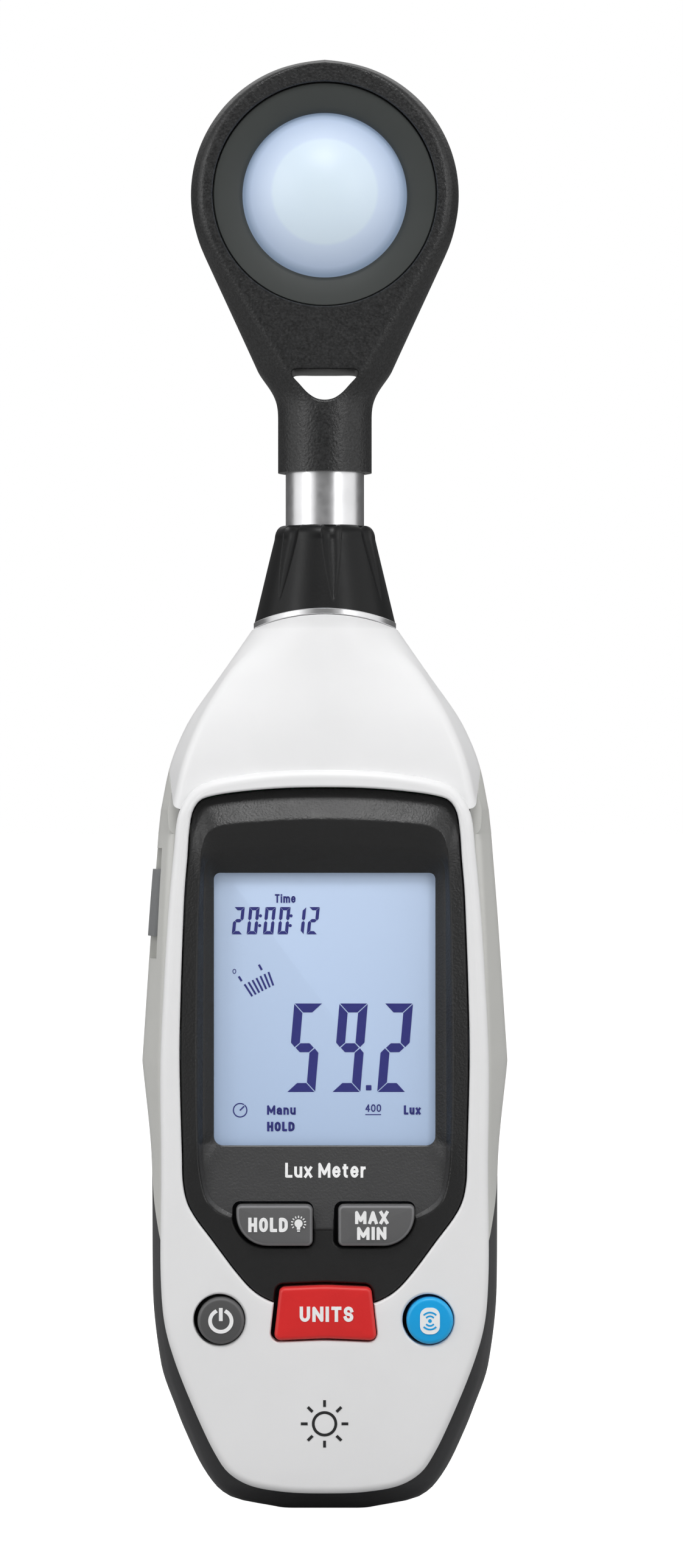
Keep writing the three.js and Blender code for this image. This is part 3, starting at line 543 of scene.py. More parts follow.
def rounded(corners, steps=8):
    """A closed outline from corners (x, z, radius) with true arcs."""
    out = []
    count = len(corners)
    for i, (x, z, radius) in enumerate(corners):
        p = Vector((x, z))
        a = (Vector(corners[i - 1][:2]) - p).normalized()
        b = (Vector(corners[(i + 1) % count][:2]) - p).normalized()
        half = a.angle(b) / 2
        centre = p + (a + b).normalized() * (radius / math.sin(half))
        start = p + a * (radius / math.tan(half)) - centre
        end = p + b * (radius / math.tan(half)) - centre
        sweep = start.angle_signed(end)
        first = math.atan2(start.y, start.x)
        for step in range(steps + 1):
            angle = first - sweep * step / steps
            out.append((centre.x + radius * math.cos(angle), centre.y + radius * math.sin(angle)))
    return out


def rounded_box(x, z, radius, steps=8):
    """An outline from a range in x and a range in z."""
    corners = [(x[0], z[0]), (x[1], z[0]), (x[1], z[1]), (x[0], z[1])]
    return rounded([(*corner, radius) for corner in corners], steps)


def resample(points, count):
    """Evenly spaced points along a closed outline, starting at its first point."""
    loop = np.vstack([points, points[:1]])
    steps = np.linalg.norm(np.diff(loop, axis=0), axis=1)
    along = np.concatenate([[0], np.cumsum(steps)])
    wanted = np.linspace(0, along[-1], count, endpoint=False)
    return np.stack([np.interp(wanted, along, loop[:, k]) for k in range(2)], axis=1)


def smooth_loop(half, count):
    """Evenly spaced points on a smooth closed outline, from its half on the +x side."""
    return resample(spline(mirrored(half), closed=True), count)


def angles_about(points, centre):
    """Angles of points about a centre, anticlockwise from straight down."""
    return np.arctan2(points[:, 0] - centre[0], -(points[:, 1] - centre[1]))


def at_angles(points, angles, centre):
    """Where rays from the centre at those angles cross an outline that the centre can see all of."""
    dense = resample(points, 2000)
    own = np.unwrap(angles_about(dense, centre))
    radius = np.hypot(dense[:, 0] - centre[0], dense[:, 1] - centre[1])
    order = np.argsort(own)
    reach = np.interp(angles, own[order], radius[order], period=TURN)
    x = centre[0] + reach * np.sin(angles)
    z = centre[1] - reach * np.cos(angles)
    return np.stack([x, z], axis=1)


def offset(points, by):
    """A closed outline moved outwards by that much."""
    points = np.asarray(points, float)
    ahead = np.roll(points, -1, axis=0) - np.roll(points, 1, axis=0)
    ahead /= np.linalg.norm(ahead, axis=1)[:, None]
    outwards = np.stack([ahead[:, 1], -ahead[:, 0]], axis=1)
    return points + by * outwards


def inside(loop, x, z):
    """Whether a closed outline goes round the point."""
    a, b = loop, np.roll(loop, -1, axis=0)
    spans = (a[:, 1] > z) != (b[:, 1] > z)
    rise = np.where(spans, b[:, 1] - a[:, 1], 1)
    reach = a[:, 0] + (z - a[:, 1]) * (b[:, 0] - a[:, 0]) / rise
    return bool(np.count_nonzero(spans & (reach > x)) % 2)


def with_y(points, y):
    """Points of an outline with a depth, a number or one for each."""
    depth = np.broadcast_to(np.asarray(y, float), (len(points),))
    return [(p[0], d, p[1]) for p, d in zip(points, depth)]


def blend(a, b, weight):
    return np.asarray(a) * (1 - weight) + np.asarray(b) * weight


def between(a, b, depth_a, depth_b, weights):
    """Rings that lead from one outline and its depth to another."""
    return [with_y(blend(a, b, w), blend(depth_a, depth_b, w)) for w in weights]


def rounded_edge(loop, radius, depth, steps):
    """Rings round an outline's front edge, from its side over to a face at that depth."""
    rings = []
    for t in arc_steps(steps):
        moved = offset(loop, -radius * (1 - math.cos(t)))
        rings.append(with_y(moved, depth + radius * (1 - math.sin(t))))
    return rings


def ease(value, low, high):
    """0 below low, 1 above high, smooth between."""
    t = np.clip((np.asarray(value, float) - low) / (high - low), 0, 1)
    return t * t * (3 - 2 * t)


# ---------------------------------------------------------------- the case's skin

# Cross-sections of the case: z, front centre y, front edge x and y, widest x with the y where it
# starts and ends, back edge x and y, back centre y.
CASE_ROWS = np.array(
    [
        [0, -5, 7, -5, 9, -3, 3, 7, 6.5, 7],
        [2, -8.5, 15, -8, 17, -5, 6, 14.5, 11.5, 12],
        [5.3, -10.5, 19, -10.5, 20.5, -6.5, 8, 18, 14.2, 14.8],
        [14, -10.5, 23.2, -10.5, 25.1, -6.5, 8, 22.2, 16.4, 16.7],
        [18, -10.5, 24.8, -10.5, 26.7, -6.5, 8, 23.6, 16.9, 17],
        [26, -10.5, 27.4, -10.5, 29.4, -6.5, 7, 26, 17, 17],
        [40, -10.5, 28.9, -10.5, 30.9, -6, 5, 26.8, 17, 17],
        [60, -10.5, 29.1, -10.5, 31.1, -4, 4.5, 26.8, 17, 17],
        [80, -10.5, 29.4, -10.5, 33, 0, 4, 27.2, 17, 17],
        [106, -10.5, 28.4, -10.5, 31.2, -2, 4, 26.8, 17, 17],
        [121, -10.5, 27.6, -10.5, 30, -3, 4, 25.6, 17, 17],
        [125.3, -16.3, 26.9, -15, 29.5, -4, 4, 25, 16.9, 17],
        [133, -16, 25.2, -14.5, 27.9, -4.5, 4, 23.4, 16.2, 16.6],
        [140, -15.5, 22.6, -13.5, 25.1, -4.5, 4, 20.6, 15, 15.8],
        [150, -14.3, 16.9, -11, 18.4, -4, 4, 15, 12.4, 14.3],
        [158, -12.8, 10.8, -9.6, 12.9, -4, 4, 10.4, 9.8, 12.8],
        [170, -12.8, 10.8, -9.6, 12.9, -4, 4, 10.4, 9.8, 12.8],
    ]
)
# Heights where the skin has a crease, and the radii of a section's corners from front to back.
CREASE_Z = (80.0, 121.0, 125.3, 158.0)
CORNER_R = (1.6, 2.2, 2.2, 2.4)
# Centre and radius of the arch that the case's neck ends in, and the bore through the neck.
ARCH_Z = 124.1
ARCH_R = 36.0
COLLAR_BORE = 8.75


def slopes(z, v):
    """Slopes of a curve through the points that overshoots none of them."""
    step = np.diff(z)
    rise = np.diff(v, axis=0) / step[:, None]
    out = np.zeros_like(v)
    out[0], out[-1] = rise[0], rise[-1]
    for i in range(1, len(z) - 1):
        a, b = rise[i - 1], rise[i]
        wa, wb = 2 * step[i] + step[i - 1], step[i] + 2 * step[i - 1]
        same = a * b > 0
        mean = (wa + wb) / (wa / np.where(same, a, 1) + wb / np.where(same, b, 1))
        out[i] = np.where(same, mean, 0)
    return out


def case_row(z):
    """The cross-section's nine measures at any height."""
    heights = CASE_ROWS[:, 0]
    breaks = [0, *[int(np.argmin(abs(heights - c))) for c in CREASE_Z], len(heights) - 1]
    for low, high in zip(breaks, breaks[1:]):
        if z <= heights[high] or high == breaks[-1]:
            break
    zs, vs = heights[low : high + 1], CASE_ROWS[low : high + 1, 1:]
    if len(zs) == 2:
        return vs[0] + (vs[1] - vs[0]) * (z - zs[0]) / (zs[1] - zs[0])
    m = slopes(zs, vs)
    i = int(np.clip(np.searchsorted(zs, z) - 1, 0, len(zs) - 2))
    h = zs[i + 1] - zs[i]
    t = (z - zs[i]) / h
    return (
        (2 * t**3 - 3 * t**2 + 1) * vs[i]
        + (t**3 - 2 * t**2 + t) * h * m[i]
        + (3 * t**2 - 2 * t**3) * vs[i + 1]
        + (t**3 - t**2) * h * m[i + 1]
    )


def inset_half(half, by):
    """Half a section's corners, front centre to back centre, moved inwards."""
    out = []
    for i, p in enumerate(half):
        before = half[i - 1] if i else (-half[1][0], half[1][1])
        after = half[i + 1] if i < len(half) - 1 else (-half[i - 1][0], half[i - 1][1])
        a = Vector((p[1] - before[1], before[0] - p[0])).normalized()
        b = Vector((after[1] - p[1], p[0] - after[0])).normalized()
        step = (a + b) * (by / (1 + a.dot(b)))
        out.append((p[0] - step.x, p[1] - step.y))
    return out


def rounded_section(half, runs, radii):
    """Half a section with rounded corners, as a fixed number of points for each of its sides."""
    points = []
    for i, side in enumerate(zip(half, half[1:])):
        a, b = Vector(side[0]), Vector(side[1])
        length = max((b - a).length, 1e-6)
        start = min(radii[i - 1], length * 0.4) if i else 0
        end = min(radii[i], length * 0.4) if i < len(radii) else 0
        ahead = (b - a) / length
        for step in range(runs[i] + 1):
            points.append(a + ahead * (start + (length - start - end) * step / runs[i]))
        if i < len(radii):
            c = Vector(half[i + 2])
            beyond = min(radii[i], (c - b).length * 0.4)
            p0, p2 = b - ahead * end, b + (c - b).normalized() * beyond
            for step in range(1, 6):
                t = step / 6
                points.append(p0 * (1 - t) ** 2 + b * 2 * t * (1 - t) + p2 * t**2)
    return points


def level_ring(half, z):
    """A closed ring at a height from half a section."""
    return [(x, y, z) for x, y in mirrored([(p.x, p.y) for p in half])]


def case_ring(z, by=0.0):
    """The case's section at a height, moved inwards by some millimetres, as a closed ring."""
    fy, fx, ey, wx, w0, w1, bx, by_edge, back = case_row(z)
    half = [(0, fy), (fx, ey), (wx, w0), (wx, w1), (bx, by_edge), (0, back)]
    if by:
        half = inset_half(half, by)
    toward_neck = float(ease(z, 149, 158))
    neck = []
    for p in rounded_section(half, (12, 6, 5, 7, 12), CORNER_R):
        deep = (back if p.y > 0 else -fy) - by
        angle = math.atan2(p.x / (wx - by), -p.y / deep)
        target = Vector(((wx - by) * math.sin(angle), -deep * math.cos(angle)))
        neck.append(p.lerp(target, toward_neck))
    return level_ring(neck, z)


def case_levels(low, high, step):
    """Heights from low to high that include the creases."""
    count = max(2, int((high - low) / step))
    levels = set(np.round(np.linspace(low, high, count + 1), 3))
    levels |= {c for c in CREASE_Z if low < c < high}
    return sorted(levels)


def case_solid(name, by=0.0, low=0.0, high=166.0, step=1.4):
    """The case as a solid between two heights, moved inwards by some millimetres."""
    bottom = [low + (6 - low) * (1 - math.cos(t)) for t in arc_steps(9)] if low < 4 else [low]
    levels = sorted({*bottom, *case_levels(bottom[-1], high, step)})
    return skin(name, [case_ring(z, by) for z in levels])


def arch_cylinder(name, radius):
    """A cylinder about the y axis on which the neck, its ring and its collar meet."""
    return prism_y(name, circle(radius, 0, ARCH_Z, 180), -30, 30)


def above_arch():
    """Cutter for the top of the case's neck, down to the arch that the chrome ring lies on."""
    top = block("top", (-16, 16), (-16, 16), (140, 180))
    return combine(top, arch_cylinder("arch", ARCH_R))


def stem_way(radius, low, high, count=96):
    """Cutter for a bore about the stem's axis."""
    return turned_z("stem_way", [(radius, low), (radius, high)], count, joined=False)


def hollow(inset, low, high, step, depth, levels):
    """Cutter for the space inside the case's skin within a range of depths and of heights."""
    room = block("room", ACROSS, depth, levels)
    return combine(case_solid("hollow", inset, low, high, step), room, "INTERSECT")


# Side view of the line where the front shell meets the rear shell.
SPLIT = [(-15, 125.3), (-10.5, 128.4), (-4.3, 132.8), (0, 136.3), (0, 175)]
SEAM = 0.12


def front_region(name):
    """The space in front of the split."""
    line = [(y - SEAM, z + SEAM) for y, z in SPLIT]
    return prism_x(name, [(-30, 124), *line, (-30, 175)])


def rear_region(name):
    """The space behind the split."""
    line = [(y + SEAM, z - SEAM) for y, z in SPLIT[1:]]
    return prism_x(name, [(-10.5, -5), *line, (40, 175), (40, -5)])


def boot_region(name, grow):
    """The space that the rubber boot takes up, larger by grow."""
    corners = [
        (-12, -5),
        (12.3 + grow, -5),
        (12.3 + grow, 61.8 + grow),
        (-3.5, 59.4 + grow),
        (-10.3, 46.9 + grow),
        (-12, 46.9 + grow),
    ]
    return prism_x(name, corners)


# ---------------------------------------------------------------- outlines of the front

PLATE = [
    (0, 4.3), (7.5, 4.6), (13.5, 5.8), (17, 8), (19.2, 11.2), (22.6, 18.3), (26.4, 27.8),
    (28.1, 34), (28.8, 42), (28.75, 62), (28.9, 80), (28.4, 92), (27.5, 107), (26.6, 117),
    (25.75, 124.3), (24.6, 126.9), (23.2, 128.6), (21, 129.9), (12, 131.6), (0, 132.2),
]
BEZEL = [
    (0, 37), (8, 37.9), (10.8, 39), (12.9, 40.5), (15.5, 43.4), (19.7, 49), (22.9, 53.3),
    (24.2, 55.8), (24.9, 59), (25.1, 64.5), (25.5, 81.6), (25.3, 92.7), (24.95, 103),
    (24.6, 111), (24.1, 117), (23.75, 122), (23.2, 125), (22.0, 126.8), (19.8, 127.6),
    (10, 128.8), (0, 129.1),
]
RIDGE = [
    (0, 50.8), (8, 50.85), (13, 51.4), (16.8, 53), (19.3, 54.3), (21, 56.2), (22.1, 60.5),
    (22.55, 66), (22.8, 80), (22.6, 100), (22.2, 112), (21.7, 118.2), (21.0, 120.7),
    (18.9, 122.2), (12.5, 123), (0, 123.5),
]
SECOND = [
    (0, 51.5), (8, 51.5), (12.8, 52.1), (16.4, 53.7), (18.8, 55.1), (20.4, 56.9), (21.4, 60.8),
    (21.6, 66), (21.6, 80), (21.5, 100), (21.4, 112), (21.0, 115.9), (18.9, 117.5),
    (12.5, 118.3), (0, 118.7),
]
WINDOW_HALF = 19.7
WINDOW_LOW, WINDOW_TOP = 65.6, 114.1
WINDOW_EDGE = rounded(
    [
        (-WINDOW_HALF, WINDOW_LOW, 1.6), (WINDOW_HALF, WINDOW_LOW, 1.6),
        (WINDOW_HALF, WINDOW_TOP, 1.1), (-WINDOW_HALF, WINDOW_TOP, 1.1),
    ]
)
FRONT_CENTRE = (0.0, 78.0)

plate_loop = smooth_loop(PLATE, 360)
front_angles = angles_about(plate_loop, FRONT_CENTRE)
bezel_loop = at_angles(spline(mirrored(BEZEL), closed=True), front_angles, FRONT_CENTRE)


PLATE_Y = -17.0


def plate_face(points):
    """Depth of the white plate's front: a slight crown across that falls away at the bottom."""
    x, z = points[:, 0], points[:, 1]
    crown = 0.3 * (x / 28) ** 2
    return PLATE_Y + crown + 0.5 * np.clip((34 - z) / 30, 0, 1) ** 2


# ---------------------------------------------------------------- keys

# The caps stand this far behind the CAD keys' fronts, so that the print on them stays level with those.
KEY_SINK = 0.11
KEY_FRONT = case_box("hold_key")[0][1] + KEY_SINK
KEY_SHIFT = 0.15
KEY_TOP_R = 0.75
KEY_CROWN = 0.18


def leaf_key(side):
    """Outline of a key with one large lower outer corner, on the side -1 or 1."""
    corners = [(15.8, 48.1, 5.6), (15.8, 55.4, 0.9), (2.25, 55.4, 1.0), (2.25, 48.1, 1.0)]
    points = rounded(corners, 10)
    if side > 0:
        return points
    return [(-x, z) for x, z in points[::-1]]


def units_key():
    return rounded(
        [
            (-9.15, 31.35, 1.1), (0, 31.75, 40), (9.15, 31.35, 1.1), (8.1, 40.75, 1.0),
            (0, 41.1, 30), (-8.1, 40.75, 1.0),
        ]
    )


ROUND_KEY_X, ROUND_KEY_Z, ROUND_KEY_R = 18.5, 34.9, 4.15


def round_key(side):
    return circle(ROUND_KEY_R, side * ROUND_KEY_X, ROUND_KEY_Z, 96)


KEY_OUTLINES = {
    "hold": leaf_key(-1),
    "maxmin": leaf_key(1),
    "units": units_key(),
    "power": round_key(-1),
    "wireless": round_key(1),
}


def key_loop(name):
    """A key's outline as evenly spaced points, anticlockwise."""
    points = np.asarray(KEY_OUTLINES[name], float)
    x, z = points[:, 0], points[:, 1]
    area = np.sum(x * np.roll(z, -1) - np.roll(x, -1) * z)
    return resample(points if area > 0 else points[::-1], 160)


def key_hole(name, face_y, depth_y, gap=0.42, lip=0.4):
    """Cutter for a key's hole: straight walls that flare where they meet the face at face_y."""
    aside = np.array([-0.14, 0.08])
    loop = key_loop(name) + aside
    rings = [with_y(offset(loop, gap), depth_y), with_y(offset(loop, gap), face_y + lip)]
    for t in arc_steps(4)[1:]:
        grown = offset(loop, gap + lip * (1 - math.cos(t)))
        rings.append(with_y(grown, face_y + lip * (1 - math.sin(t))))
    rings.append(with_y(offset(loop, gap + lip), face_y - 3))
    return skin("key_hole_" + name, rings)


def mark_painted_highlight(piece, test):
    """Writes the "edge" attribute that places a painted highlight, from a test of case coordinates."""
    layer = piece.data.attributes.new("edge", "FLOAT", "POINT")
    for i, vertex in enumerate(piece.data.vertices):
        layer.data[i].value = float(test(*in_case(vertex.co)))


def make_key(name, material):
    """A key's cap: straight sides, a rounded top edge with a painted highlight, a crowned top."""
    loop = key_loop(name) + np.array([KEY_SHIFT, 0])
    centre = loop.mean(axis=0)
    top = KEY_FRONT + KEY_CROWN
    rings = [with_y(loop, -10.2), *rounded_edge(loop, KEY_TOP_R, top, 6)]
    inner = offset(loop, -KEY_TOP_R)
    for shrink in (0.12, 0.3, 0.5, 0.7, 0.88):
        depth = KEY_FRONT + KEY_CROWN * (1 - shrink) ** 2
        rings.append(with_y(blend(inner, centre, shrink), depth))
    piece = domed(name + "_key_cap", rings, (centre[0], KEY_FRONT, centre[1]))
    # Painted highlight along the rounded top edge.
    mark_painted_highlight(piece, lambda x, y, z: abs(y - (top + 0.14)) < 0.1)
    return finish_piece(piece, material, name, [name + "_key"])


# ---------------------------------------------------------------- lettering and printed marks


def arc(x, z, wide, tall, start, end, steps=10):
    """Points on an ellipse between two angles in degrees, anticlockwise from +x."""
    angles = np.radians(np.linspace(start, end, steps + 1))
    return [(x + wide * math.cos(t), z + tall * math.sin(t)) for t in angles]


# Generic block letters. Each has its width as a share of the cap height and its strokes, drawn on a
# square from (0, 0) to (1, 1) that is stretched to that width.
GLYPHS = {
    "A": (0.70, [[(0, 0), (0.5, 1), (1, 0)], [(0.2, 0.3), (0.8, 0.3)]]),
    "D": (0.62, [[(0, 0), (0, 1), *arc(0.3, 0.65, 0.7, 0.35, 90, 0),
                  *arc(0.3, 0.35, 0.7, 0.35, 0, -90), (0, 0)]]),
    "H": (0.62, [[(0, 0), (0, 1)], [(1, 0), (1, 1)], [(0, 0.5), (1, 0.5)]]),
    "I": (0.21, [[(0, 0), (0, 1)]]),
    "L": (0.50, [[(0, 1), (0, 0), (1, 0)]]),
    "M": (0.84, [[(0, 0), (0, 1), (0.5, 0.2), (1, 1), (1, 0)]]),
    "N": (0.66, [[(0, 0), (0, 1), (1, 0), (1, 1)]]),
    "O": (0.62, [arc(0.5, 0.62, 0.5, 0.38, 0, 180) + arc(0.5, 0.38, 0.5, 0.38, 180, 360)
                 + [(1, 0.62)]]),
    "S": (0.58, [arc(0.5, 0.75, 0.48, 0.25, 10, 250) + arc(0.5, 0.25, 0.5, 0.25, 70, -170)]),
    "T": (0.60, [[(0, 1), (1, 1)], [(0.5, 0), (0.5, 1)]]),
    "U": (0.62, [[(0, 1), *arc(0.5, 0.34, 0.5, 0.34, 180, 360), (1, 1)]]),
    "X": (0.66, [[(0, 0), (1, 1)], [(0, 1), (1, 0)]]),
    "a": (0.56, [[*arc(0.5, 0.46, 0.47, 0.24, 160, 0), (1, 0)],
                 arc(0.46, 0.2, 0.46, 0.2, 0, 360, 16)]),
    "e": (0.58, [[(0, 0.39), (1, 0.39), *arc(0.5, 0.37, 0.5, 0.37, 10, 325, 16)]]),
    "i": (0.21, [[(0, 0), (0, 0.7)], [(0, 0.98), (0, 1.0)]]),
    "m": (0.86, [[(0, 0), (0, 0.7)], [*arc(0.25, 0.46, 0.25, 0.24, 180, 0), (0.5, 0)],
                 [*arc(0.75, 0.46, 0.25, 0.24, 180, 0), (1, 0)]]),
    "n": (0.56, [[(0, 0), (0, 0.7)], [*arc(0.5, 0.44, 0.5, 0.26, 180, 0), (1, 0)]]),
    "r": (0.40, [[(0, 0), (0, 0.7)], arc(0.8, 0.36, 0.8, 0.33, 170, 90)]),
    "t": (0.42, [[(0.35, 0.9), *arc(0.8, 0.2, 0.45, 0.2, 180, 270)], [(0, 0.7), (0.9, 0.7)]]),
    "u": (0.56, [[(0, 0.7), *arc(0.5, 0.24, 0.5, 0.24, 180, 360)], [(1, 0), (1, 0.7)]]),
    "x": (0.56, [[(0, 0), (1, 0.7)], [(0, 0.7), (1, 0)]]),
    "0": (0.56, [arc(0.5, 0.62, 0.5, 0.38, 0, 180) + arc(0.5, 0.38, 0.5, 0.38, 180, 360)
                 + [(1, 0.62)]]),
    "4": (0.58, [[(0.75, 0), (0.75, 1), (0, 0.3), (1, 0.3)]]),
}
LETTER_GAP = 0.13
WORD_GAP = 0.30


def ribbon(points, width):
    """A stroke along a line: a bar for each piece of it and a round joint between two bars."""
    pts = [Vector(p) for i, p in enumerate(points) if i == 0 or Vector(p) != Vector(points[i - 1])]
    joints = pts[1:-1]
    if (pts[0] - pts[-1]).length < 1e-6:
        joints.append(pts[0])
    else:
        pts[0] = pts[0] - (pts[1] - pts[0]).normalized() * width / 2
        pts[-1] = pts[-1] + (pts[-1] - pts[-2]).normalized() * width / 2
    bars = [bar(*a, *b, width) for a, b in zip(pts, pts[1:])]
    return bars + [circle(width / 2, p.x, p.y, 14) for p in joints]


def word(text, x, z, wide, tall, weight=0.21):
    """Strokes of a word centred on (x, z), with its overall width, cap height and stroke weight."""
    natural = sum(WORD_GAP if c == " " else GLYPHS[c][0] + LETTER_GAP for c in text) - LETTER_GAP
    scale = wide / natural
    thick = weight * tall
    shapes = []
    left = x - wide / 2
    for c in text:
        if c == " ":
            left += WORD_GAP * scale
            continue
        share, strokes = GLYPHS[c]
        inner = max(0.0, share * scale - thick)
        for stroke in strokes:
            line = [
                (left + thick / 2 + px * inner, z - tall / 2 + thick / 2 + pz * (tall - thick))
                for px, pz in stroke
            ]
            shapes += ribbon(line, thick)
        left += (share + LETTER_GAP) * scale
    return shapes


def printed(name, shapes, depth_at, material, body, thick=0.12):
    """Thin raised print laid on the surface whose depth is depth_at(x, z).

    Shapes that overlap lie a hair apart, so that no two faces share a plane.
    """
    points, faces = [], []
    step = 0.04 / max(40, len(shapes))
    for number, shape in enumerate(shapes):
        faces.append(tuple(range(len(points), len(points) + len(shape))))
        points += [(x, depth_at(x, z) - step * number, z) for x, z in shape]
    count = len(points)
    solid = points + [(x, y + thick, z) for x, y, z in points]
    edges = [edge for face in faces for edge in zip(face, face[1:] + face[:1])]
    known = set(edges)
    walls = [(a, b, b + count, a + count) for a, b in edges if (b, a) not in known]
    backs = [tuple(i + count for i in reversed(face)) for face in faces]
    piece = object_from(name, solid, faces + backs + walls)
    return finish_piece(piece, material, body, sharp=30)


def bar(x0, z0, x1, z1, width):
    """A straight stroke with square ends."""
    ahead = Vector((x1 - x0, z1 - z0)).normalized()
    side = Vector((-ahead.y, ahead.x)) * width / 2
    return [
        (x0 + side.x, z0 + side.y),
        (x0 - side.x, z0 - side.y),
        (x1 - side.x, z1 - side.y),
        (x1 + side.x, z1 + side.y),
    ]


# ---------------------------------------------------------------- front shell


def plate_depth(x, z):
    """Depth of the print on the white plate."""
    return float(plate_face(np.array([[x, z]]))[0]) - 0.03


GROOVE = 0.22
PLATE_R, GROOVE_R = 1.25, 0.45
SKIRT_Y, RIM_Y = -10.9, -13.4


def plate_rings():
    """Rings round the front plate, from its skirt over its face and down to the bezel's groove."""
    rings = [with_y(offset(plate_loop, 0.35), SKIRT_Y), with_y(offset(plate_loop, 0.3), -12.5)]
    for t in arc_steps(8):
        loop = offset(plate_loop, -PLATE_R * (1 - math.cos(t)) + 0.25 * math.cos(t))
        rings.append(with_y(loop, plate_face(plate_loop) + PLATE_R * (1 - math.sin(t))))
    start = offset(plate_loop, -PLATE_R)
    rim = offset(bezel_loop, GROOVE_R + GROOVE)
    for weight in np.linspace(0, 1, 15)[1:]:
        loop = blend(start, rim, weight)
        rings.append(with_y(loop, plate_face(loop)))
    for t in arc_steps(5)[1:]:
        loop = offset(bezel_loop, GROOVE + GROOVE_R * (1 - math.sin(t)))
        rings.append(with_y(loop, plate_face(rim) + GROOVE_R * (1 - math.cos(t))))
    rings.append(with_y(offset(bezel_loop, GROOVE), RIM_Y))
    rings.append(with_y(offset(plate_loop, -1.9), RIM_Y))
    rings.append(with_y(offset(plate_loop, -1.9), SKIRT_Y))
    return rings


def make_front_plate():
    """White frame round the display and the keypad, with the shoulder that it runs into."""
    plate = skin("front_plate", plate_rings(), joined=True)
    shoulder = combine(case_solid("shoulder"), front_region("front_region"), "INTERSECT")
    bezel_room = prism_y("bezel_room", [tuple(p) for p in offset(bezel_loop, GROOVE)], -20, -11)
    shoulder_room = hollow(2.0, 100, 148, 3, (-14, 40), (90, 150))
    cut_all(shoulder, [shoulder_room, above_arch(), bezel_room, stem_way(COLLAR_BORE, 140, 175)])
    combine(plate, shoulder, "UNION")
    faces = {"units": PLATE_Y, "power": PLATE_Y + 0.15, "wireless": PLATE_Y + 0.15}
    cut_all(plate, [key_hole(name, face, -9) for name, face in faces.items()])
    return finish_piece(plate, WHITE, "case", ["front_housing"], 32)


# ---------------------------------------------------------------- display bezel


WINDOW_RIM_Y = -13.35
RAMP_LOW, RAMP_LOW_Y = 50.8, -16.45
KEYPAD_Y = -16.15
BEZEL_BACK_Y = -12.3


def ramp_depth(z):
    """The ramp below the window, from the window's rim up to the keypad's level."""
    share = (WINDOW_LOW - z) / (WINDOW_LOW - RAMP_LOW)
    return WINDOW_RIM_Y + share * (RAMP_LOW_Y - WINDOW_RIM_Y)


def bezel_edge_depth(points):
    """The bezel's outer edge, nearly flush with the plate at the sides and sunk at the top."""
    return KEYPAD_Y + 1.5 * ease(points[:, 1], 119, 126.5)


def ridge_depth(points):
    """The crest round the display: low at the keypad, highest over the hood."""
    z = points[:, 1]
    return -16.2 - 0.35 * ease(z, 54, 68) - 0.75 * ease(z, 112, 121)


def second_depth(points):
    """The line inside the crest: on the ramp low down, a step in at the sides, a lip at the top."""
    z = points[:, 1]
    low = blend(ramp_depth(z), np.full_like(z, -15.0), ease(z, 59, 68))
    return low - 0.75 * ease(z, 112, 117)


def make_bezel():
    """Black bezel: a hood over the display, a ramp under it and the level round the keys."""
    centre, corner = (0.0, 84.0), 0.4
    outer = smooth_loop(BEZEL, 480)
    angles = angles_about(outer, centre)
    loops = [outer, spline(mirrored(RIDGE), closed=True), spline(mirrored(SECOND), closed=True)]
    loops.append(np.array(WINDOW_EDGE))
    outline, ridge, second, window = [at_angles(loop, angles, centre) for loop in loops]
    edge, crest, fall = bezel_edge_depth(outline), ridge_depth(ridge), second_depth(second)
    rim = np.full(len(window), WINDOW_RIM_Y)
    start = offset(outline, -corner)
    rings = [with_y(outline, BEZEL_BACK_Y), *rounded_edge(outline, corner, edge, 4)]
    rings += between(start, ridge, edge, crest, (0.12, 0.3, 0.5, 0.7, 0.86, 0.94))
    rings.append(with_y(ridge, crest + 0.08))
    rings += between(ridge, second, crest, fall, (0.1, 0.35, 0.6, 0.85, 0.95))
    rings.append(with_y(second, fall + 0.06))
    rings += between(second, window, fall, rim, (0.08, 0.3, 0.55, 0.8, 1.0))
    rings.append(with_y(window, BEZEL_BACK_Y))
    bezel = skin("display_bezel_shell", rings, joined=True)
    cut_all(bezel, [key_hole(name, KEYPAD_Y, -10) for name in ("hold", "maxmin", "units")])
    # Painted reflection: the ramp below the window gets a lighter colour that stands for the overhead
    # light.
    panel = resample(offset(ridge, -0.25), 240)
    mark_painted_highlight(bezel, lambda x, y, z: z < 66 and y < -13 and inside(panel, x, z))
    return finish_piece(bezel, BEZEL_BLACK, "case", ["display_bezel"], 26)


# ---------------------------------------------------------------- display

WINDOW_TALL = WINDOW_TOP - WINDOW_LOW


def on_display(u, v):
    """A place on the display from shares of the window's width and height, from its top left."""
    return ((2 * u - 1) * WINDOW_HALF, WINDOW_TOP - v * WINDOW_TALL)


# The seven strokes of a digit, in a cell 1 wide and 2 tall: top, upper left, upper right, middle,
# lower left, lower right, bottom.
DIGITS = {
    "0": "1110111", "1": "0010010", "2": "1011101", "3": "1011011", "4": "0111010",
    "5": "1101011", "6": "1101111", "7": "1010010", "8": "1111111", "9": "1111011",
}


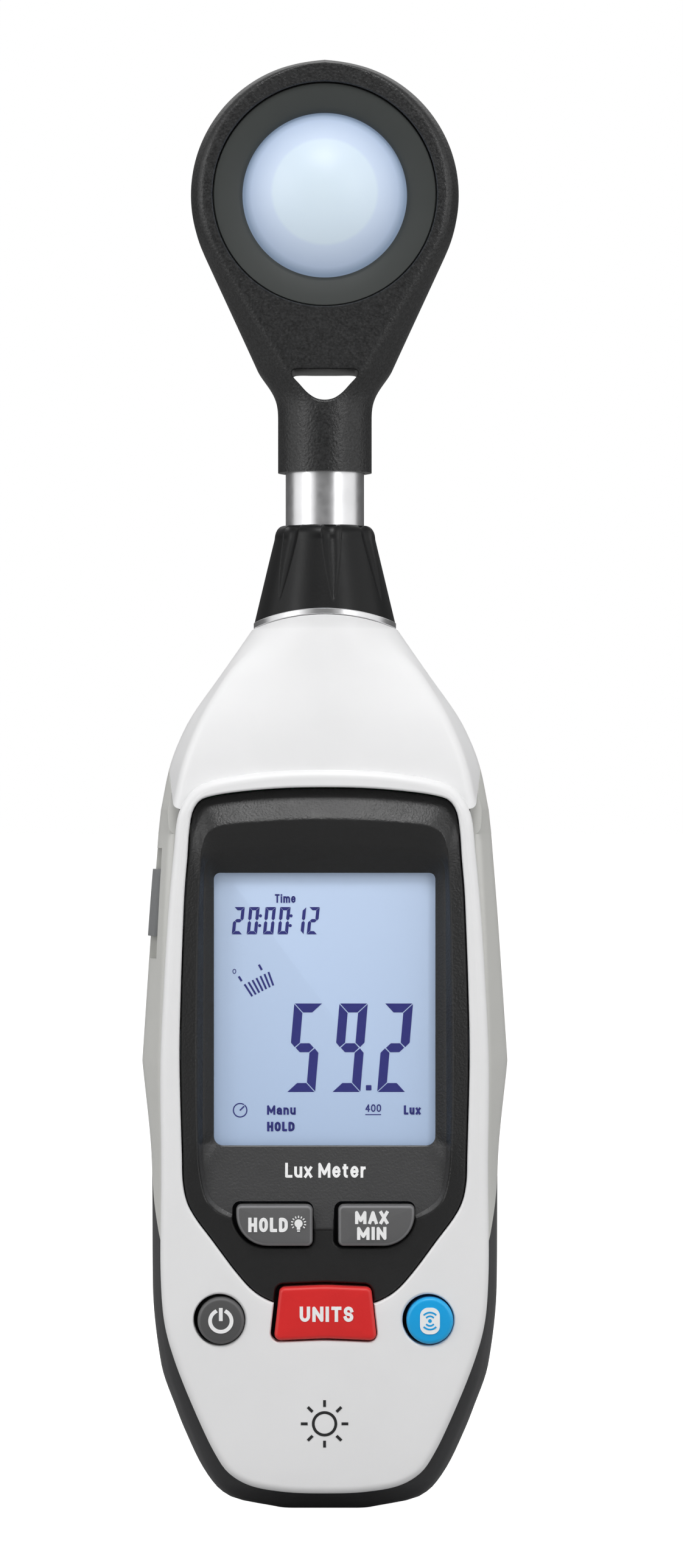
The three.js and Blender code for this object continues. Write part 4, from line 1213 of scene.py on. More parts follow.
def digit_strokes(digit, x, z, wide, tall, thick, lean, gap):
    """Strokes of one digit as outlines; x and z are its lower left corner, lean is dx over dz."""
    h = tall / 2
    g = gap / 2
    t = thick
    m = t / 2
    strokes = {
        0: [(g, tall), (wide - g, tall), (wide - t - g, tall - t), (t + g, tall - t)],
        1: [(0, tall - g), (t, tall - t - g), (t, h + m + g), (m * 0.9, h + g), (0, h + m + g)],
        2: [
            (wide, tall - g), (wide, h + m + g), (wide - m * 0.9, h + g),
            (wide - t, h + m + g), (wide - t, tall - t - g),
        ],
        3: [
            (m + g, h), (t + g, h + m), (wide - t - g, h + m),
            (wide - m - g, h), (wide - t - g, h - m), (t + g, h - m),
        ],
        4: [(0, h - m - g), (m * 0.9, h - g), (t, h - m - g), (t, t + g), (0, g)],
        5: [
            (wide - m * 0.9, h - g), (wide, h - m - g), (wide, g),
            (wide - t, t + g), (wide - t, h - m - g),
        ],
        6: [(t + g, t), (wide - t - g, t), (wide - g, 0), (g, 0)],
    }
    out = []
    for i, shown in enumerate(DIGITS[digit]):
        if shown == "1":
            out.append([(x + px + pz * lean, z + pz) for px, pz in strokes[i]])
    return out


def clock_marks():
    """Two digits each for hours, minutes and seconds, with the colons between them."""
    left, low = on_display(0.080, 0.226)
    tall = 0.100 * WINDOW_TALL
    shapes = []
    for digit, x in zip("200012", (0.0, 2.65, 5.55, 8.15, 10.95, 13.35)):
        shapes += digit_strokes(digit, left + x, low, 1.85, tall, 0.58, 0.1, 0.08)
    for x in (4.75, 10.2):
        for z in (0.32, 0.68):
            shapes.append(circle(0.28, left + x + 0.1 + z * 0.4, low + z * tall, 16))
    return shapes


def reading_marks():
    """The big reading: three digits and a decimal point."""
    left, low = on_display(0.335, 0.805)
    tall = (0.805 - 0.480) * WINDOW_TALL
    pitch = 8.05
    shapes = []
    for i, digit in enumerate("592"):
        x = left + i * pitch - 0.25
        shapes += digit_strokes(digit, x, low, 5.05, tall, 1.6, 0.085, 0.22)
    x, z = on_display(0.699, 0.790)
    shapes.append(rounded_box((x - 0.5, x + 0.5), (z - 0.45, z + 0.5), 0.12, 3))
    return shapes


def gauge_marks():
    """A small dial with a hand, and a minus sign."""
    x, z = on_display(0.118, 0.872)
    shapes = ribbon(arc(x, z, 1.2, 1.2, 60, 405, 48), 0.2)
    shapes.append(bar(x - 0.05, z - 0.05, x + 0.7, z + 0.7, 0.24))
    shapes.append(bar(*on_display(0.684, 0.888), *on_display(0.755, 0.888), 0.16))
    return shapes


def meter_bars():
    """The fan of bars of the analogue scale, with its zero tick and one more tick."""
    shapes = []
    for i in range(7):
        foot = on_display(0.173 + i * 0.0158, 0.4535 - i * 0.0066)
        lean = math.radians(-33 + i * 2.2)
        tip = (foot[0] + 2.55 * math.sin(lean), foot[1] + 2.55 * math.cos(lean))
        shapes.append(bar(*foot, *tip, 0.34))
    for u, v, rise in ((0.125, 0.398, 0.85), (0.216, 0.357, 0.95)):
        x, z = on_display(u, v)
        shapes.append(bar(x, z, x - 0.52, z + rise, 0.38))
    zero = on_display(0.092, 0.362)
    shapes += ribbon(arc(*zero, 0.26, 0.38, 0, 360, 20), 0.13)
    return shapes


# Words on the display: text, shares across and down the window, width, height, stroke weight.
DISPLAY_WORDS = [
    ("Time", 0.322, 0.0945, 3.7, 1.55, 0.185),
    ("Manu", 0.3045, 0.871, 5.1, 1.7, 0.215),
    ("HOLD", 0.302, 0.932, 4.9, 1.7, 0.25),
    ("400", 0.7195, 0.864, 2.8, 1.35, 0.155),
    ("Lux", 0.896, 0.871, 3.0, 1.65, 0.23),
]


def make_display():
    low, high = case_box("lcd_glass")
    glass = rounded_box((low[0], high[0]), (low[2], high[2]), 0.6, 4)
    cell = soften(prism_y("lcd_cell", glass, low[1], high[1]), 0.15)
    finish_piece(cell, DISPLAY, "case", ["lcd_glass"])
    shapes = reading_marks() + clock_marks() + meter_bars() + gauge_marks()
    for text, u, v, wide, tall, weight in DISPLAY_WORDS:
        shapes += word(text, *on_display(u, v), wide, tall, weight)
    ink_y = low[1] - 0.05
    printed("lcd_segments", shapes, lambda x, z: ink_y, SEGMENT, "case", 0.045)


def make_window():
    """Painted highlight strip at the window's foot, and a clear pane with a softened front edge."""
    low, high = case_box("display_window")
    back, front = high[1], low[1]
    half, z, highlight_y = 18.9, WINDOW_LOW - 0.1, front + 0.02
    # Painted highlight: a thin chrome strip where the pane's lower edge catches the light.
    strip = bar(-half, z, half, z, 0.16)
    printed("window_foot_highlight", [strip], lambda x, z: highlight_y, CHROME, "case", 0.1)
    edge = resample(np.array(WINDOW_EDGE), 200)
    steps = ((0.08, back), (0.08, front + 0.22), (0.14, front + 0.08), (0.3, front + 0.02))
    pane = skin("window_pane", [with_y(offset(edge, -inset), y) for inset, y in steps])
    finish_piece(pane, WINDOW, "case", ["display_window"])


# ---------------------------------------------------------------- rear shell, boot, battery door

DOOR_HALF, DOOR_LOW, DOOR_HIGH, DOOR_INNER_Y = 24, 17, 77, 14.8
TRIPOD_Z = 95
TAB_X = 14
DOOR_SCREW_Z = 19.2
HEAD_SCREWS = ("head_screw_1", "head_screw_2", "head_screw_3")
SCREW_SPOTS = {
    "case_screw_upper_left": (-15.5, 12.6, 141),
    "case_screw_upper_right": (15.5, 12.6, 141),
    "case_screw_lower_left": (-24.3, 14.8, 83),
    "case_screw_lower_right": (24.3, 14.8, 83),
}


def door_outline(grow, radius=3.0):
    half, low, high = DOOR_HALF + grow, DOOR_LOW - grow, DOOR_HIGH + grow
    foot, shoulder_z = 19.5 + grow, 32
    half_corners = [(foot, low, radius), (half, shoulder_z, 6), (half, high, radius)]
    return rounded([*half_corners, *[(-x, z, r) for x, z, r in half_corners[::-1]]])


def round_hole(x, z, front, back, radius, chamfer=0.35):
    """Cutter for a hole from the back with a chamfered mouth at depth back."""
    profile = [
        (radius, front), (radius, back - chamfer), (radius + chamfer, back),
        (radius + chamfer, back + 3),
    ]
    return turned_y("hole", profile, x, z, 48)


REAR_MOUTH = [(0, 9), (17, 11), (21, 18), (25, 32), (26.2, 60), (26.6, 80), (25.6, 121), (0, 121)]


def add_battery_bay(shell):
    """Walls round the cells, open to the back."""
    bay = block("bay_walls", (-24.3, 24.3), (1, 14.6), (20.8, 74))
    combine(bay, block("bay_boss", (-4, 4), (1, 14.6), (15, 22)), "UNION")
    combine(shell, bay, "UNION")


def add_screw_bosses(shell):
    combine(shell, turned_y("tripod_boss", [(7, 6), (7, 16)], 0, TRIPOD_Z), "UNION")
    for x, _, z in SCREW_SPOTS.values():
        front, back = (-3.5, 15.4) if z < 100 else (0.3, 13.4)
        combine(shell, turned_y("screw_boss", [(3.2, front), (3.2, back)], x, z, 32), "UNION")


def rear_cutters():
    """The battery bay's room, the door's seat, holes for screws and tripod, neck, port recess."""
    cutters = [
        block("bay_room", (-22.9, 22.9), (2.5, 20), (22.2, 72.6)),
        prism_y("door_seat", door_outline(0.18), DOOR_INNER_Y - 0.2, 20),
    ]
    for x in (-TAB_X, TAB_X):
        cutters.append(block("tab_slot", (x - 3.5, x + 3.5), (9.5, DOOR_INNER_Y), (72, 80)))
    cutters.append(round_hole(0, DOOR_SCREW_Z, 5, 14.6, 1.8))
    cutters.append(round_hole(0, TRIPOD_Z, 8.7, BACK_Y, 5.0, 0.25))
    for x, y, z in SCREW_SPOTS.values():
        cutters.append(turned_y("screw_seat", [(2.35, y - 0.3), (2.35, 20)], x, z, 40))
        cutters.append(turned_y("screw_way", [(1.5, -12), (1.5, y)], x, z, 24))
    cutters += [stem_way(COLLAR_BORE, 140, 175), above_arch()]
    recess = block("port_space", (-40, -20), (-6.1, 0.9), (98.5, 118.4))
    cutters.append(combine(recess, case_solid("port_floor", 1.3, 90, 125, 3)))
    cutters.append(block("port_mouth", (-40, -26), (-4.8, -0.8), (103.6, 113.6)))
    return cutters


def make_rear_shell():
    """Hollow rear shell with the battery bay, screw bosses and the openings for what it carries."""
    shell = combine(case_solid("rear_shell"), rear_region("rear_region"), "INTERSECT")
    combine(shell, boot_region("boot_space", 0.1))
    core = combine(case_solid("core", 2.4, 2.6, 62, 3), rear_region("core_region"), "INTERSECT")
    combine(shell, core, "UNION")
    combine(shell, hollow(2.0, 61, 147, 4, (-10.4, 15), (60, 150)))
    combine(shell, hollow(4.4, 5.5, 62, 4, (-10.4, 14.6), (0, 70)))
    combine(shell, prism_y("front_mouth", mirrored(REAR_MOUTH), -14, -5))
    add_battery_bay(shell)
    add_screw_bosses(shell)
    cut_all(shell, rear_cutters())
    return finish_piece(shell, FLANK, "case", ["rear_housing"], 32)


def make_boot():
    """Rubber boot round the case's lower end, open to the front plate."""
    boot = combine(case_solid("boot_shell"), boot_region("boot_region", -0.15), "INTERSECT")
    combine(boot, case_solid("boot_room", 2.2, 2.4, 66, 3))
    rim = resample(offset(plate_loop, -1.2), 120)
    combine(boot, prism_y("boot_mouth", [tuple(p) for p in rim], -14, -6))
    return finish_piece(boot, BOOT_GREY, "case", ["rubber_boot"], 32)


def make_battery_door():
    """A panel that follows the case's back, with grip grooves, a screw hole and two tabs."""
    panel = prism_y("door_region", door_outline(0), DOOR_INNER_Y, 20)
    door = combine(case_solid("battery_door_panel", 0, 12, 82, 2), panel, "INTERSECT")
    soften(door, 0.35, 2, 50)
    for i in range(6):
        z = 63 + i * 1.9
        groove = rounded_box((-8, 8), (z - 0.45, z + 0.45), 0.4, 4)
        combine(door, prism_y("grip_groove", groove, 16.45, 20))
    combine(door, round_hole(0, DOOR_SCREW_Z, 15.4, BACK_Y, 2.35, 0.3))
    combine(door, turned_y("screw_way", [(1.5, 10), (1.5, 16)], 0, DOOR_SCREW_Z, 24))
    for x in (-TAB_X, TAB_X):
        tab = block("door_tab", (x - 3, x + 3), (12.6, 14.2), (75, 79))
        combine(tab, block("tab_root", (x - 3, x + 3), (13.5, 15.2), (75, 76.8)), "UNION")
        combine(door, tab, "UNION")
    return finish_piece(door, FLANK, "door", ["battery_door"], 30)


def screw_head(name, x, y, z, body, length, reach=1.5):
    """A pan-head screw seen from the back, its head standing on y by its reach."""
    shank, head = 1.1, 2.0
    profile = [(0, y - length), (1.0, y - length), (shank, y - length + 0.5), (shank, y), (head, y)]
    profile.append((head, y + reach * 0.55))
    for t in arc_steps(4)[1:]:
        rise = reach * (0.55 + 0.45 * math.sin(t))
        profile.append((head - 0.5 * (1 - math.cos(t)), y + rise))
    profile.append((0, y + reach * 1.02))
    screw = turned_y(name + "_fastener", profile, x, z, 40)
    for wide, tall in ((0.28, 1.25), (1.25, 0.28)):
        slot = block("slot", (x - wide, x + wide), (y + reach * 0.45, y + 4), (z - tall, z + tall))
        combine(screw, slot)
    return finish_piece(screw, STEEL, body, [name], 30)


def make_screws():
    """The screws of the case, the battery door and the head."""
    for name, (x, y, z) in SCREW_SPOTS.items():
        screw_head(name, x, y, z, "case", 6)
    screw_head("battery_door_screw", 0, 15.7, DOOR_SCREW_Z, "door", 5.1, 1.1)
    for name in HEAD_SCREWS:
        x, _, z = middle(name)
        screw_head(name, x, case_box(name)[1][1] - 1.5, z, "head", 8)


def make_tripod_insert():
    """A brass bush with thread grooves in its bore."""
    pitch, bore = 0.64, 3.2
    profile = [(4.8, 9), (4.8, 16.8), (4.6, 17), (3.6, 17), (bore, 16.6)]
    for i in range(9):
        z = 16.6 - i * pitch
        profile += [(bore, z), (bore - 0.3, z - pitch / 2)]
    profile += [(3.0, 10.6), (0, 10.5), (0, 9)]
    insert = turned_y("tripod_bush", profile, 0, TRIPOD_Z, 64, joined=True)
    finish_piece(insert, BRASS, "case", ["tripod_insert"], 20)


def make_port_cover():
    """Rubber flap that follows the case's side, with a lip that plugs the port."""
    flap = combine(
        case_solid("port_flap", -0.5, 96, 122, 1.0),
        block("flap_band", (-40, -20), (-5.8, 0.4), (102.6, 114.6)),
        "INTERSECT",
    )
    combine(flap, case_solid("flap_inside", 1.0, 90, 125, 2))
    lip = block("lip", (-30.4, -29.2), (-4.4, -1.2), (104.7, 112.5))
    soften(flap, 0.55, 3, 50)
    combine(flap, lip, "UNION")
    return finish_piece(flap, PORT_GREY, "cover", ["port_cover"], 40)


# ---------------------------------------------------------------- neck

FLUTES = 7
FIRST_FLUTE = 0.134


def collar_radius(z):
    """The collar's cone below its rounded shoulder."""
    shoulder = 174.0
    cone = np.interp(z, [157, 158.9, shoulder], [12.84, 12.7, 9.1])
    if z <= shoulder:
        return float(cone)
    rise = min(1.0, (z - shoulder) / 2.4)
    return 7.5 + 1.6 * math.sqrt(max(0.0, 1 - rise**2))


def flute_depth(angle, z):
    """How deep the flutes cut at an angle round the collar: wide at the top, a point low down."""
    low, high = 162.6, 175.0
    share = min(1.0, max(0.0, (z - low) / (high - low)))
    if share <= 0:
        return 0.0
    step = TURN / FLUTES
    nearest = (angle - FIRST_FLUTE + step / 2) % step - step / 2
    half = 0.205 * share**0.8
    across = abs(nearest) / half
    if across >= 1:
        return 0.0
    return (0.35 + 0.75 * share) * share**0.35 * (1 - across**2) ** 0.75


COLLAR_TOP, COLLAR_R, COLLAR_WALL_R = 176.4, 12.75, 10.4


def upright_ring(radius, height, angles):
    """A ring about the stem's axis; its radius and height are a number or one for each angle."""
    x, y = radius * np.sin(angles), -radius * np.cos(angles)
    return list(zip(x, y, np.broadcast_to(height, len(angles))))


def on_arch(arch, radius, angles):
    """Heights of an arch of that radius over a circle about the stem's axis."""
    return ARCH_Z + np.sqrt(arch**2 - (radius * np.sin(angles)) ** 2)


def make_collar():
    """A fluted cone with a rounded top and an arched foot, hollow for the stem and the bush."""
    angles = around(420)
    foot = on_arch(ARCH_R + 1.2, COLLAR_R, angles)
    rings = []
    for share in [*np.linspace(0, 0.9, 44), *(0.9 + 0.1 * np.sin(arc_steps(8)[1:]))]:
        heights = foot + (COLLAR_TOP - foot) * share
        radii = [collar_radius(z) - flute_depth(angle, z) for angle, z in zip(angles, heights)]
        rings.append(upright_ring(np.array(radii), heights, angles))
    for bore, drop in ((7.35, 0.05), (7.25, 0.5), (7.25, 4.5), (8.9, 5.2)):
        rings.append(upright_ring(bore, COLLAR_TOP - drop, angles))
    rings.append(upright_ring(COLLAR_WALL_R, foot, angles))
    collar = skin("fluted_collar", rings, joined=True)
    return finish_piece(collar, COLLAR_BLACK, "case", ["neck_collar"], 50)


def make_neck_ring():
    """A chrome ring whose lower and upper rims follow two arches."""
    radius, bore, edge = 12.84, 10.3, 0.12
    low, high = ARCH_R + 0.1, ARCH_R + 1.15
    corners = [
        (bore, low), (radius - edge, low), (radius, low + edge), (radius, high - edge),
        (radius - edge, high), (bore, high),
    ]
    angles = around(200)
    rings = [upright_ring(r, on_arch(arch, radius, angles), angles) for r, arch in corners]
    ring = skin("chrome_neck_ring", rings, joined=True)
    return finish_piece(ring, CHROME, "case", ["neck_ring"], 30)


def make_stem():
    """Chrome tube that carries the head."""
    profile = [(5.7, 150.3), (6.8, 150), (7.07, 150.3), (7.07, 193.8), (6.8, 194), (5.7, 194)]
    stem = turned_z("chrome_stem", profile, 128)
    finish_piece(stem, CHROME, "head", ["stem_tube"], 30)


# ---------------------------------------------------------------- sensor head

DISC_Z = 235.8
DISH_Z = 235.5
DISC_R = 24.1
FACE_WIDE_R, FACE_TALL_R = 22.5, 23.2
FACE_Y = 8.0
SOCKET_R = 8.45
SOCKET_LOW = case_box("head_front_shell")[0][2]
HEAD_TOP = case_box("head_front_shell")[1][2]


STRAP_HOLE = [
    (0, 198.7), (1.5, 198.95), (3.0, 199.9), (4.6, 201.6), (5.75, 202.9), (5.95, 203.5),
    (5.6, 204.0), (4.9, 204.15), (2, 204.15), (0, 204.15),
]


def head_half_width(z):
    """Half the head's width in the front view: socket, taper, disc."""
    taper, taper_low, knee = math.radians(24.8), 188, 1.12
    tangent_z = DISC_Z - DISC_R * math.sin(taper)
    if z >= tangent_z:
        return math.sqrt(max(0.0, DISC_R**2 - (z - DISC_Z) ** 2))
    if z <= taper_low:
        return SOCKET_R
    gap = DISC_R * math.cos(taper) - math.tan(taper) * (tangent_z - z) - SOCKET_R
    return SOCKET_R + 0.5 * (gap + math.sqrt(gap**2 + knee))


def head_face_half(z):
    """Half the width of the flat front face."""
    slope = math.radians(30.8)
    tangent_z = DISC_Z - FACE_WIDE_R * math.sin(slope)
    if z >= tangent_z:
        rise = (z - DISC_Z) / (FACE_TALL_R if z > DISC_Z else FACE_WIDE_R)
        return FACE_WIDE_R * math.sqrt(max(0.0, 1 - rise**2))
    return max(0.6, FACE_WIDE_R * math.cos(slope) - math.tan(slope) * (tangent_z - z))


def head_ring(z):
    """The head's section at a height: a round socket low down, then flat faces with rounded sides."""
    wide = max(head_half_width(z), 1e-3)
    top_share = float(ease(z, HEAD_TOP - 1.0, HEAD_TOP))
    face = min(head_face_half(z), max(wide - 0.4, 0.001))
    depth = FACE_Y - 3.2 * top_share
    edge = min(4.4 - 1.4 * (1 - float(ease(z, 203, 222))), depth - 0.2)
    half = [(0, -depth), (face, -depth), (wide, -edge), (wide, edge), (face, depth), (0, depth)]
    points = rounded_section(half, (14, 8, 8, 8, 14), (1.3, 1.6, 1.6, 1.0))
    round_share = 1 - float(ease(z, 195.5, 204.5))
    half_ring = []
    for i, p in enumerate(points):
        angle = math.pi * i / (len(points) - 1)
        by_angle = math.atan2(p.x, -p.y) * 0.6 + angle * 0.4
        target = Vector((SOCKET_R * math.sin(by_angle), -SOCKET_R * math.cos(by_angle)))
        half_ring.append(p.lerp(target, round_share))
    return level_ring(half_ring, z)


def strap_hole():
    """Cutter for the strap's hole, with rounded mouths on both faces."""
    lip = 0.5
    loop = smooth_loop(STRAP_HOLE, 120)
    steps = [(lip, 12), (lip, FACE_Y)]
    steps += [(lip * (1 - math.sin(t)), FACE_Y - lip * (1 - math.cos(t))) for t in arc_steps(4)]
    front = [with_y(offset(loop, grow), -depth) for grow, depth in steps]
    back = [with_y(offset(loop, grow), depth) for grow, depth in steps[::-1]]
    return skin("strap_hole", front + back)


def head_solid():
    """The whole head before it is split: skin, dish seat, sensor room, stem seat, screw holes."""
    lip = [SOCKET_LOW + 0.5 * (1 - math.cos(t)) for t in arc_steps(3)]
    lower = np.linspace(SOCKET_LOW + 0.8, 225, 64)
    upper = [225 + (HEAD_TOP - 225) * math.sin(t) for t in arc_steps(56)[1:]]
    rings = [head_ring(z) for z in (*lip, *lower, *upper)]
    rings[0] = [(x * 0.955, y * 0.955, z) for x, y, z in rings[0]]
    solid = skin("head_front", rings)
    seat = [(20.1, -5.4), (20.1, -7.8), (20.42, -8.1), (20.42, -12)]
    cutters = [
        strap_hole(),
        turned_y("dish_seat", seat, 0, DISH_Z, 180),
        turned_y("sensor_room", [(17.5, -6), (17.5, 4)], 0, DISH_Z, 90),
        stem_way(7.2, 180, 194.2),
    ]
    for name in HEAD_SCREWS:
        x, _, z = middle(name)
        back = case_box(name)[1][1]
        cutters.append(turned_y("seat", [(2.35, back - 1.8), (2.35, 12)], x, z, 40))
        cutters.append(turned_y("way", [(1.35, -5.2), (1.35, back)], x, z, 24))
    return cut_all(solid, cutters)


def make_head():
    """Front and rear halves with a fine parting line between them."""
    gap = 0.006
    front = head_solid()
    rear = front.copy()
    rear.data = front.data.copy()
    rear.name = "head_back"
    bpy.context.collection.objects.link(rear)
    halves = ((front, (-20, -gap), "head_front_shell"), (rear, (gap, 20), "head_rear_shell"))
    for half, depth, node in halves:
        combine(half, block("half", ACROSS, depth, (150, 300)), "INTERSECT", "EXACT")
        finish_piece(half, HEAD_BLACK, "head", [node], 28)


def cap_profile(radius, share, count, centre_y):
    """Radius and depth along a sphere's cap, from its middle out to a share of DOME_R."""
    reach = math.asin(DOME_R / DOME_SPHERE) * share
    angles = [reach * i / count for i in range(count + 1)]
    return [(radius * math.sin(a), centre_y - radius * math.cos(a)) for a in angles]


def make_dome():
    """Opal cap of even thickness, on a flange under the dish ring."""
    centre_y = -5.6 + DOME_SPHERE - DOME_RISE
    outer = cap_profile(DOME_SPHERE, 1, 24, centre_y)
    inner = cap_profile(DOME_SPHERE - 1.2, 0.96, 12, centre_y)
    flange = [(16.6, -3.9), (16.6, -5.3), (DOME_R + 0.4, -5.35)]
    profile = [*flange, *outer[::-1], *inner, (13.1, -3.9)]
    dome = turned_y("opal_dome", profile, 0, DISH_Z, 128, joined=True)
    finish_piece(dome, OPAL_PAINTED_SHADE, "head", ["diffuser_dome"], 40)


def make_dish():
    """Grey ring that slopes down to the dome."""
    brim_r, brim_y, across = 19.8, -7.22, 4.6
    profile = [(14.75, -5.45), (19.9, -5.45), (19.98, -5.9), (19.98, -7.0), (brim_r, brim_y)]
    for share in (0.1, 0.3, 0.5, 0.7, 0.85, 0.95):
        drop = 0.55 * share + 0.35 * share**3
        profile.append((brim_r - across * share, brim_y + drop))
    profile += [(15.1, -6.2), (14.8, -6.0)]
    dish = turned_y("dish_ring", profile, 0, DISH_Z, 180, joined=True)
    finish_piece(dish, RING_GREY, "head", ["diffuser_ring"], 30)


# ---------------------------------------------------------------- cells and inner parts


def make_cells():
    """Four cells, every other one upside down, each with a button at one end."""
    for number in (1, 2, 3, 4):
        node = f"battery_{number}"
        low, high = case_box(node)
        x, y, _ = middle(node)
        radius, tall = 5.2, high[2] - low[2]
        profile = [
            (0.01, 0), (4.6, 0), (4.9, 0.1), (radius, 0.5), (radius, tall - 1.7), (4.95, tall - 1.3),
            (4.5, tall - 1.25), (4.3, tall - 1.1), (2.0, tall - 1.05), (1.9, tall - 0.2),
            (1.7, tall), (0.01, tall),
        ]
        if number % 2:
            rings = [(r, low[2] + z) for r, z in profile]
        else:
            rings = [(r, high[2] - z) for r, z in profile]
        cell = turned_z(f"cell_{number}", rings, 64, x, y, joined=False)
        finish_piece(cell, SLEEVE, "case", [node], 40)


def dress_nodes():
    """Materials for the CAD nodes that show as they are."""
    dress = {
        BOARD: ["main_board", "sensor_board"],
        CHIP: ["controller_chip", "buzzer"],
        STEEL: [
            "radio_module", "usb_port", "battery_contact_top", "battery_contact_springs",
            "stem_clip", "photodiode",
        ],
        NYLON: ["backlight", "lead_connector", "stem_bush"],
        SEAL: [
            "zebra_strip_top", "zebra_strip_bottom", "friction_ring", "sensor_lead",
            "sensor_lead_tail",
        ],
        GREY_KEY: ["keypad_mat"],
        FILTER: ["sensor_filter"],
    }
    for material, nodes in dress.items():
        for node in nodes:
            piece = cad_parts[node]
            piece.data.materials.clear()
            piece.data.materials.append(material)


# ---------------------------------------------------------------- keys and their marks


def make_keys():
    """Key caps; a body has its key's name."""
    make_key("hold", GREY_KEY)
    make_key("maxmin", GREY_KEY)
    make_key("units", RED_KEY)
    make_key("power", POWER_KEY)
    make_key("wireless", BLUE_KEY)


def make_key_marks():
    hold = key_word("HOLD", -10.15, 51.9, 7.0, 2.55, 0.23)
    key_print("hold_print", hold + lamp_shapes(-4.75 + KEY_SHIFT, 52.0), "hold")
    limits = key_word("MAX", 8.2, 53.2, 5.9, 2.3, 0.25) + key_word("MIN", 8.2, 50.4, 5.2, 2.3, 0.25)
    key_print("maxmin_print", limits, "maxmin")
    units = key_word("UNITS", 0.2, 36.1, 9.5, 2.7, 0.22)
    key_print("units_print", units, "units")
    power = power_shapes(KEY_SHIFT - ROUND_KEY_X, ROUND_KEY_Z)
    key_print("power_print", power, "power")
    make_wave_mark(KEY_SHIFT + ROUND_KEY_X, ROUND_KEY_Z)


def key_word(text, x, z, wide, tall, weight):
    """A word that shares the shift of the key caps."""
    return word(text, x + KEY_SHIFT, z, wide, tall, weight)


def key_print(name, shapes, body):
    """White print on a key's cap."""
    printed(name, shapes, lambda x, z: KEY_FRONT - 0.03, WHITE_PRINT, body, 0.24)


def rays(x, z, near, far, angles, width):
    """Strokes that point away from (x, z), at angles clockwise from straight up."""
    ways = [(math.sin(a), math.cos(a)) for a in angles]
    return [bar(x + near * i, z + near * j, x + far * i, z + far * j, width) for i, j in ways]


def lamp_shapes(x, z):
    """A small lamp with rays: the key that also lights the display."""
    bulb_z = z + 0.15
    shapes = [circle(0.72, x, bulb_z, 32), bar(x, z - 0.4, x, z - 0.95, 0.62)]
    shapes.append(bar(x, z - 1.08, x, z - 1.3, 0.5))
    angles = [math.radians(degrees) for degrees in range(-125, 126, 25)]
    return shapes + rays(x, bulb_z, 0.98, 1.36, angles, 0.2)


def power_shapes(x, z):
    """A ring that is open at the top, with a bar in the gap."""
    stroke = 0.66
    return ribbon(arc(x, z, 1.9, 1.9, 122, 418, 40), stroke) + [bar(x, z, x, z + 2.3, stroke)]


def make_wave_mark(x, z):
    """Generic radio waves on a white field: a dot with arcs on both sides."""
    half_wide, half_tall = 1.75, 2.35
    field = rounded_box((x - half_wide, x + half_wide), (z - half_tall, z + half_tall), 1.45)
    key_print("wave_field", [field], "wireless")
    shapes = [circle(0.34, x, z, 24)]
    for way in (90, 270):
        for radius in (0.85, 1.5):
            shapes += ribbon(arc(x, z, radius, radius, way - 42, way + 42), 0.3)
    ink_y = KEY_FRONT - 0.06
    printed("wave_print", shapes, lambda px, pz: ink_y, BLUE_KEY, "wireless", 0.06)


def title_depth(x, z):
    """Depth of the print on the ramp below the window."""
    return ramp_depth(z) - 0.05


def make_front_marks():
    title = word("Lux Meter", 0.2, 61.3, 14.4, 2.6, 0.185)
    printed("title_print", title, title_depth, WHITE_PRINT, "case", 0.3)
    make_sun_mark(0, 16.6)


def make_sun_mark(x, z):
    """A generic sun, where makers print their name."""
    stroke = 0.5
    shapes = ribbon(arc(x, z, 2.0, 2.0, 0, 360, 40), stroke)
    shapes += rays(x, z, 3.0, 4.2, [TURN * i / 8 for i in range(8)], stroke)
    printed("sun_print", shapes, plate_depth, BLACK_PRINT, "case", 0.2)


# ---------------------------------------------------------------- camera and light


def make_camera():
    """Level with the middle of the meter and 0.9 m in front of it."""
    data = bpy.data.cameras.new("camera")
    data.sensor_width = 36
    data.lens = 114.5
    data.clip_start = 0.05
    data.clip_end = 50
    camera = bpy.data.objects.new("camera", data)
    bpy.context.collection.objects.link(camera)
    aside, distance, level = 3.0, 900, 129.9
    camera.location = place(aside, -distance, level)
    camera.rotation_euler = (math.pi / 2, 0, 0)
    bpy.context.scene.camera = camera


def area_light(name, location, target, size, power):
    """A soft box aimed at a target; both places in case millimetres, its size in metres."""
    data = bpy.data.lights.new(name, "AREA")
    data.shape = "RECTANGLE"
    data.size, data.size_y = size
    data.energy = power
    light = bpy.data.objects.new(name, data)
    light.location = place(*location)
    ahead = Vector(place(*target)) - light.location
    light.rotation_mode = "QUATERNION"
    light.rotation_quaternion = ahead.to_track_quat("-Z", "Y")
    bpy.context.collection.objects.link(light)


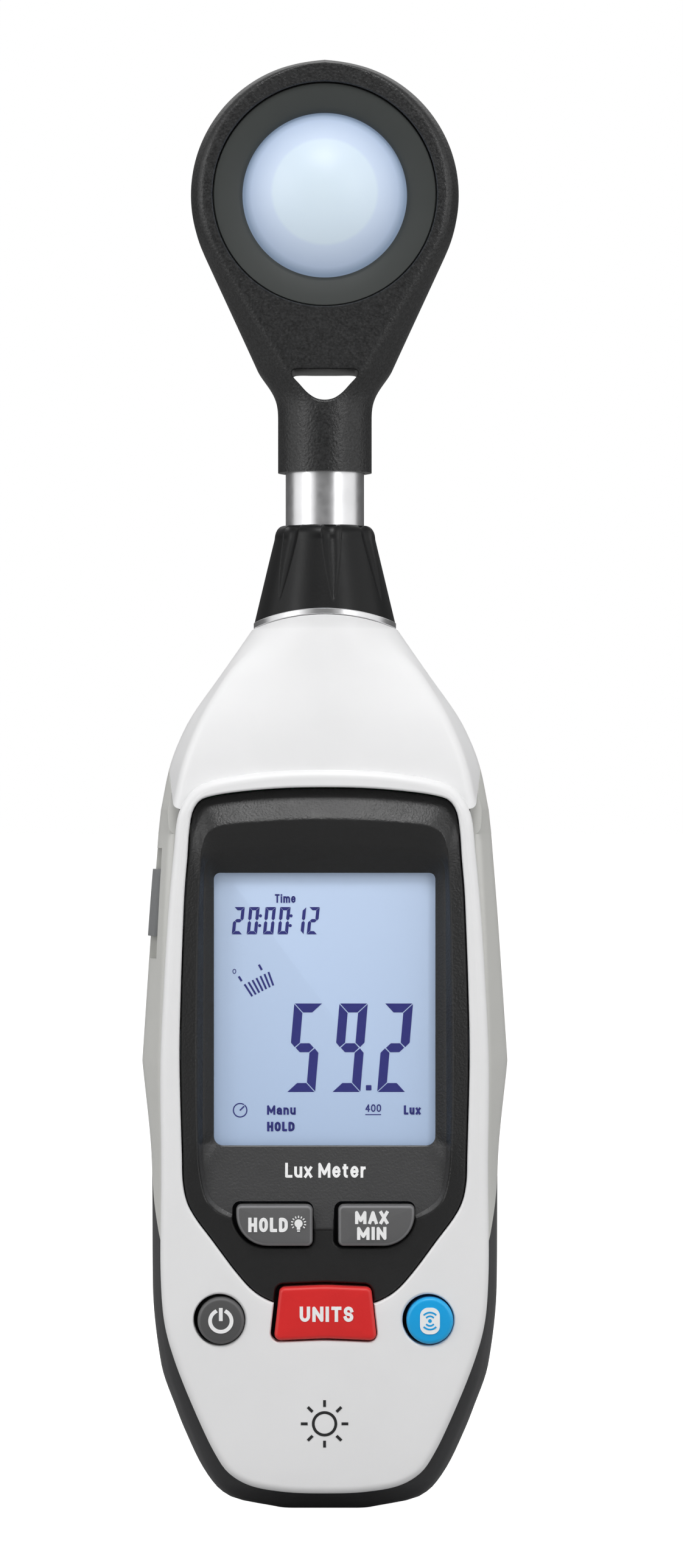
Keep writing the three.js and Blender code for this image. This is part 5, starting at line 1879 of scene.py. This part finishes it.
def make_world():
    """White to the camera; a soft dome, brighter overhead, to everything else."""
    world = bpy.data.worlds.new("studio")
    bpy.context.scene.world = world
    world.use_nodes = True
    tree = world.node_tree
    tree.nodes.clear()
    where = add_node(tree, "ShaderNodeTexCoord").outputs["Generated"]
    split = add_node(tree, "ShaderNodeSeparateXYZ", {"Vector": where})
    inputs = {"Value": split.outputs["Z"], "From Min": 0.05, "To Min": 0.0, "To Max": 0.65}
    upwards = add_node(tree, "ShaderNodeMapRange", inputs)
    inputs = {"Value": split.outputs["Y"], "From Min": -0.9, "From Max": 0.6}
    round_about = add_node(tree, "ShaderNodeMapRange", {**inputs, "To Min": 0.12, "To Max": 0.1})
    inputs = {0: upwards.outputs["Result"], 1: round_about.outputs["Result"]}
    total = add_node(tree, "ShaderNodeMath", inputs, operation="ADD")
    dome = add_node(tree, "ShaderNodeBackground", {"Strength": total.outputs["Value"]})
    white = add_node(tree, "ShaderNodeBackground", {"Color": (1, 1, 1, 1)})
    path = add_node(tree, "ShaderNodeLightPath")
    inputs = {0: path.outputs["Is Camera Ray"], 1: dome.outputs[0], 2: white.outputs[0]}
    mix = add_node(tree, "ShaderNodeMixShader", inputs)
    add_node(tree, "ShaderNodeOutputWorld", {"Surface": mix.outputs["Shader"]})


def make_floor():
    """Pale paper that the camera sees as white."""
    half, grey = 12000, (0.38, 0.38, 0.38)
    points = [(-half, -half, 0), (half, -half, 0), (half, half, 0), (-half, half, 0)]
    floor = object_from("floor", points, [(0, 1, 2, 3)])
    material, shader = principled("floor_paper", grey, 0.8)
    add_mottle(shader, grey, 0.01, 80)
    shader.inputs["Emission Color"].default_value = (1, 1, 1, 1)
    path = add_node(material.node_tree, "ShaderNodeLightPath")
    feed(shader, "Emission Strength", path.outputs["Is Camera Ray"])
    floor.data.materials.append(material)


def make_studio():
    """World, floor and soft boxes."""
    make_world()
    make_floor()
    area_light("overhead", (0, -480, 800), (0, 0, 150), (0.32, 0.24), 3.0)
    area_light("left_panel", (-760, -330, 260), (0, 0, 150), (1.25, 0.9), 3.2)
    area_light("right_panel", (760, -330, 260), (0, 0, 150), (1.25, 0.9), 3.2)
    area_light("left_strip", (-680, -485, 430), (0, 0, 200), (0.16, 0.5), 1.1)
    area_light("right_strip", (523, -670, 430), (0, 0, 200), (0.16, 0.5), 1.1)
    area_light("back_fill", (0, 700, 900), (0, 0, 130), (1.2, 0.8), 2.0)
    bpy.context.scene.view_settings.view_transform = "Standard"


make_camera()
make_studio()
dress_nodes()
make_front_plate()
make_bezel()
make_display()
make_window()
make_rear_shell()
make_boot()
make_battery_door()
make_screws()
make_tripod_insert()
make_port_cover()
make_collar()
make_neck_ring()
make_stem()
make_head()
make_dome()
make_dish()
make_cells()
make_keys()
make_key_marks()
make_front_marks()
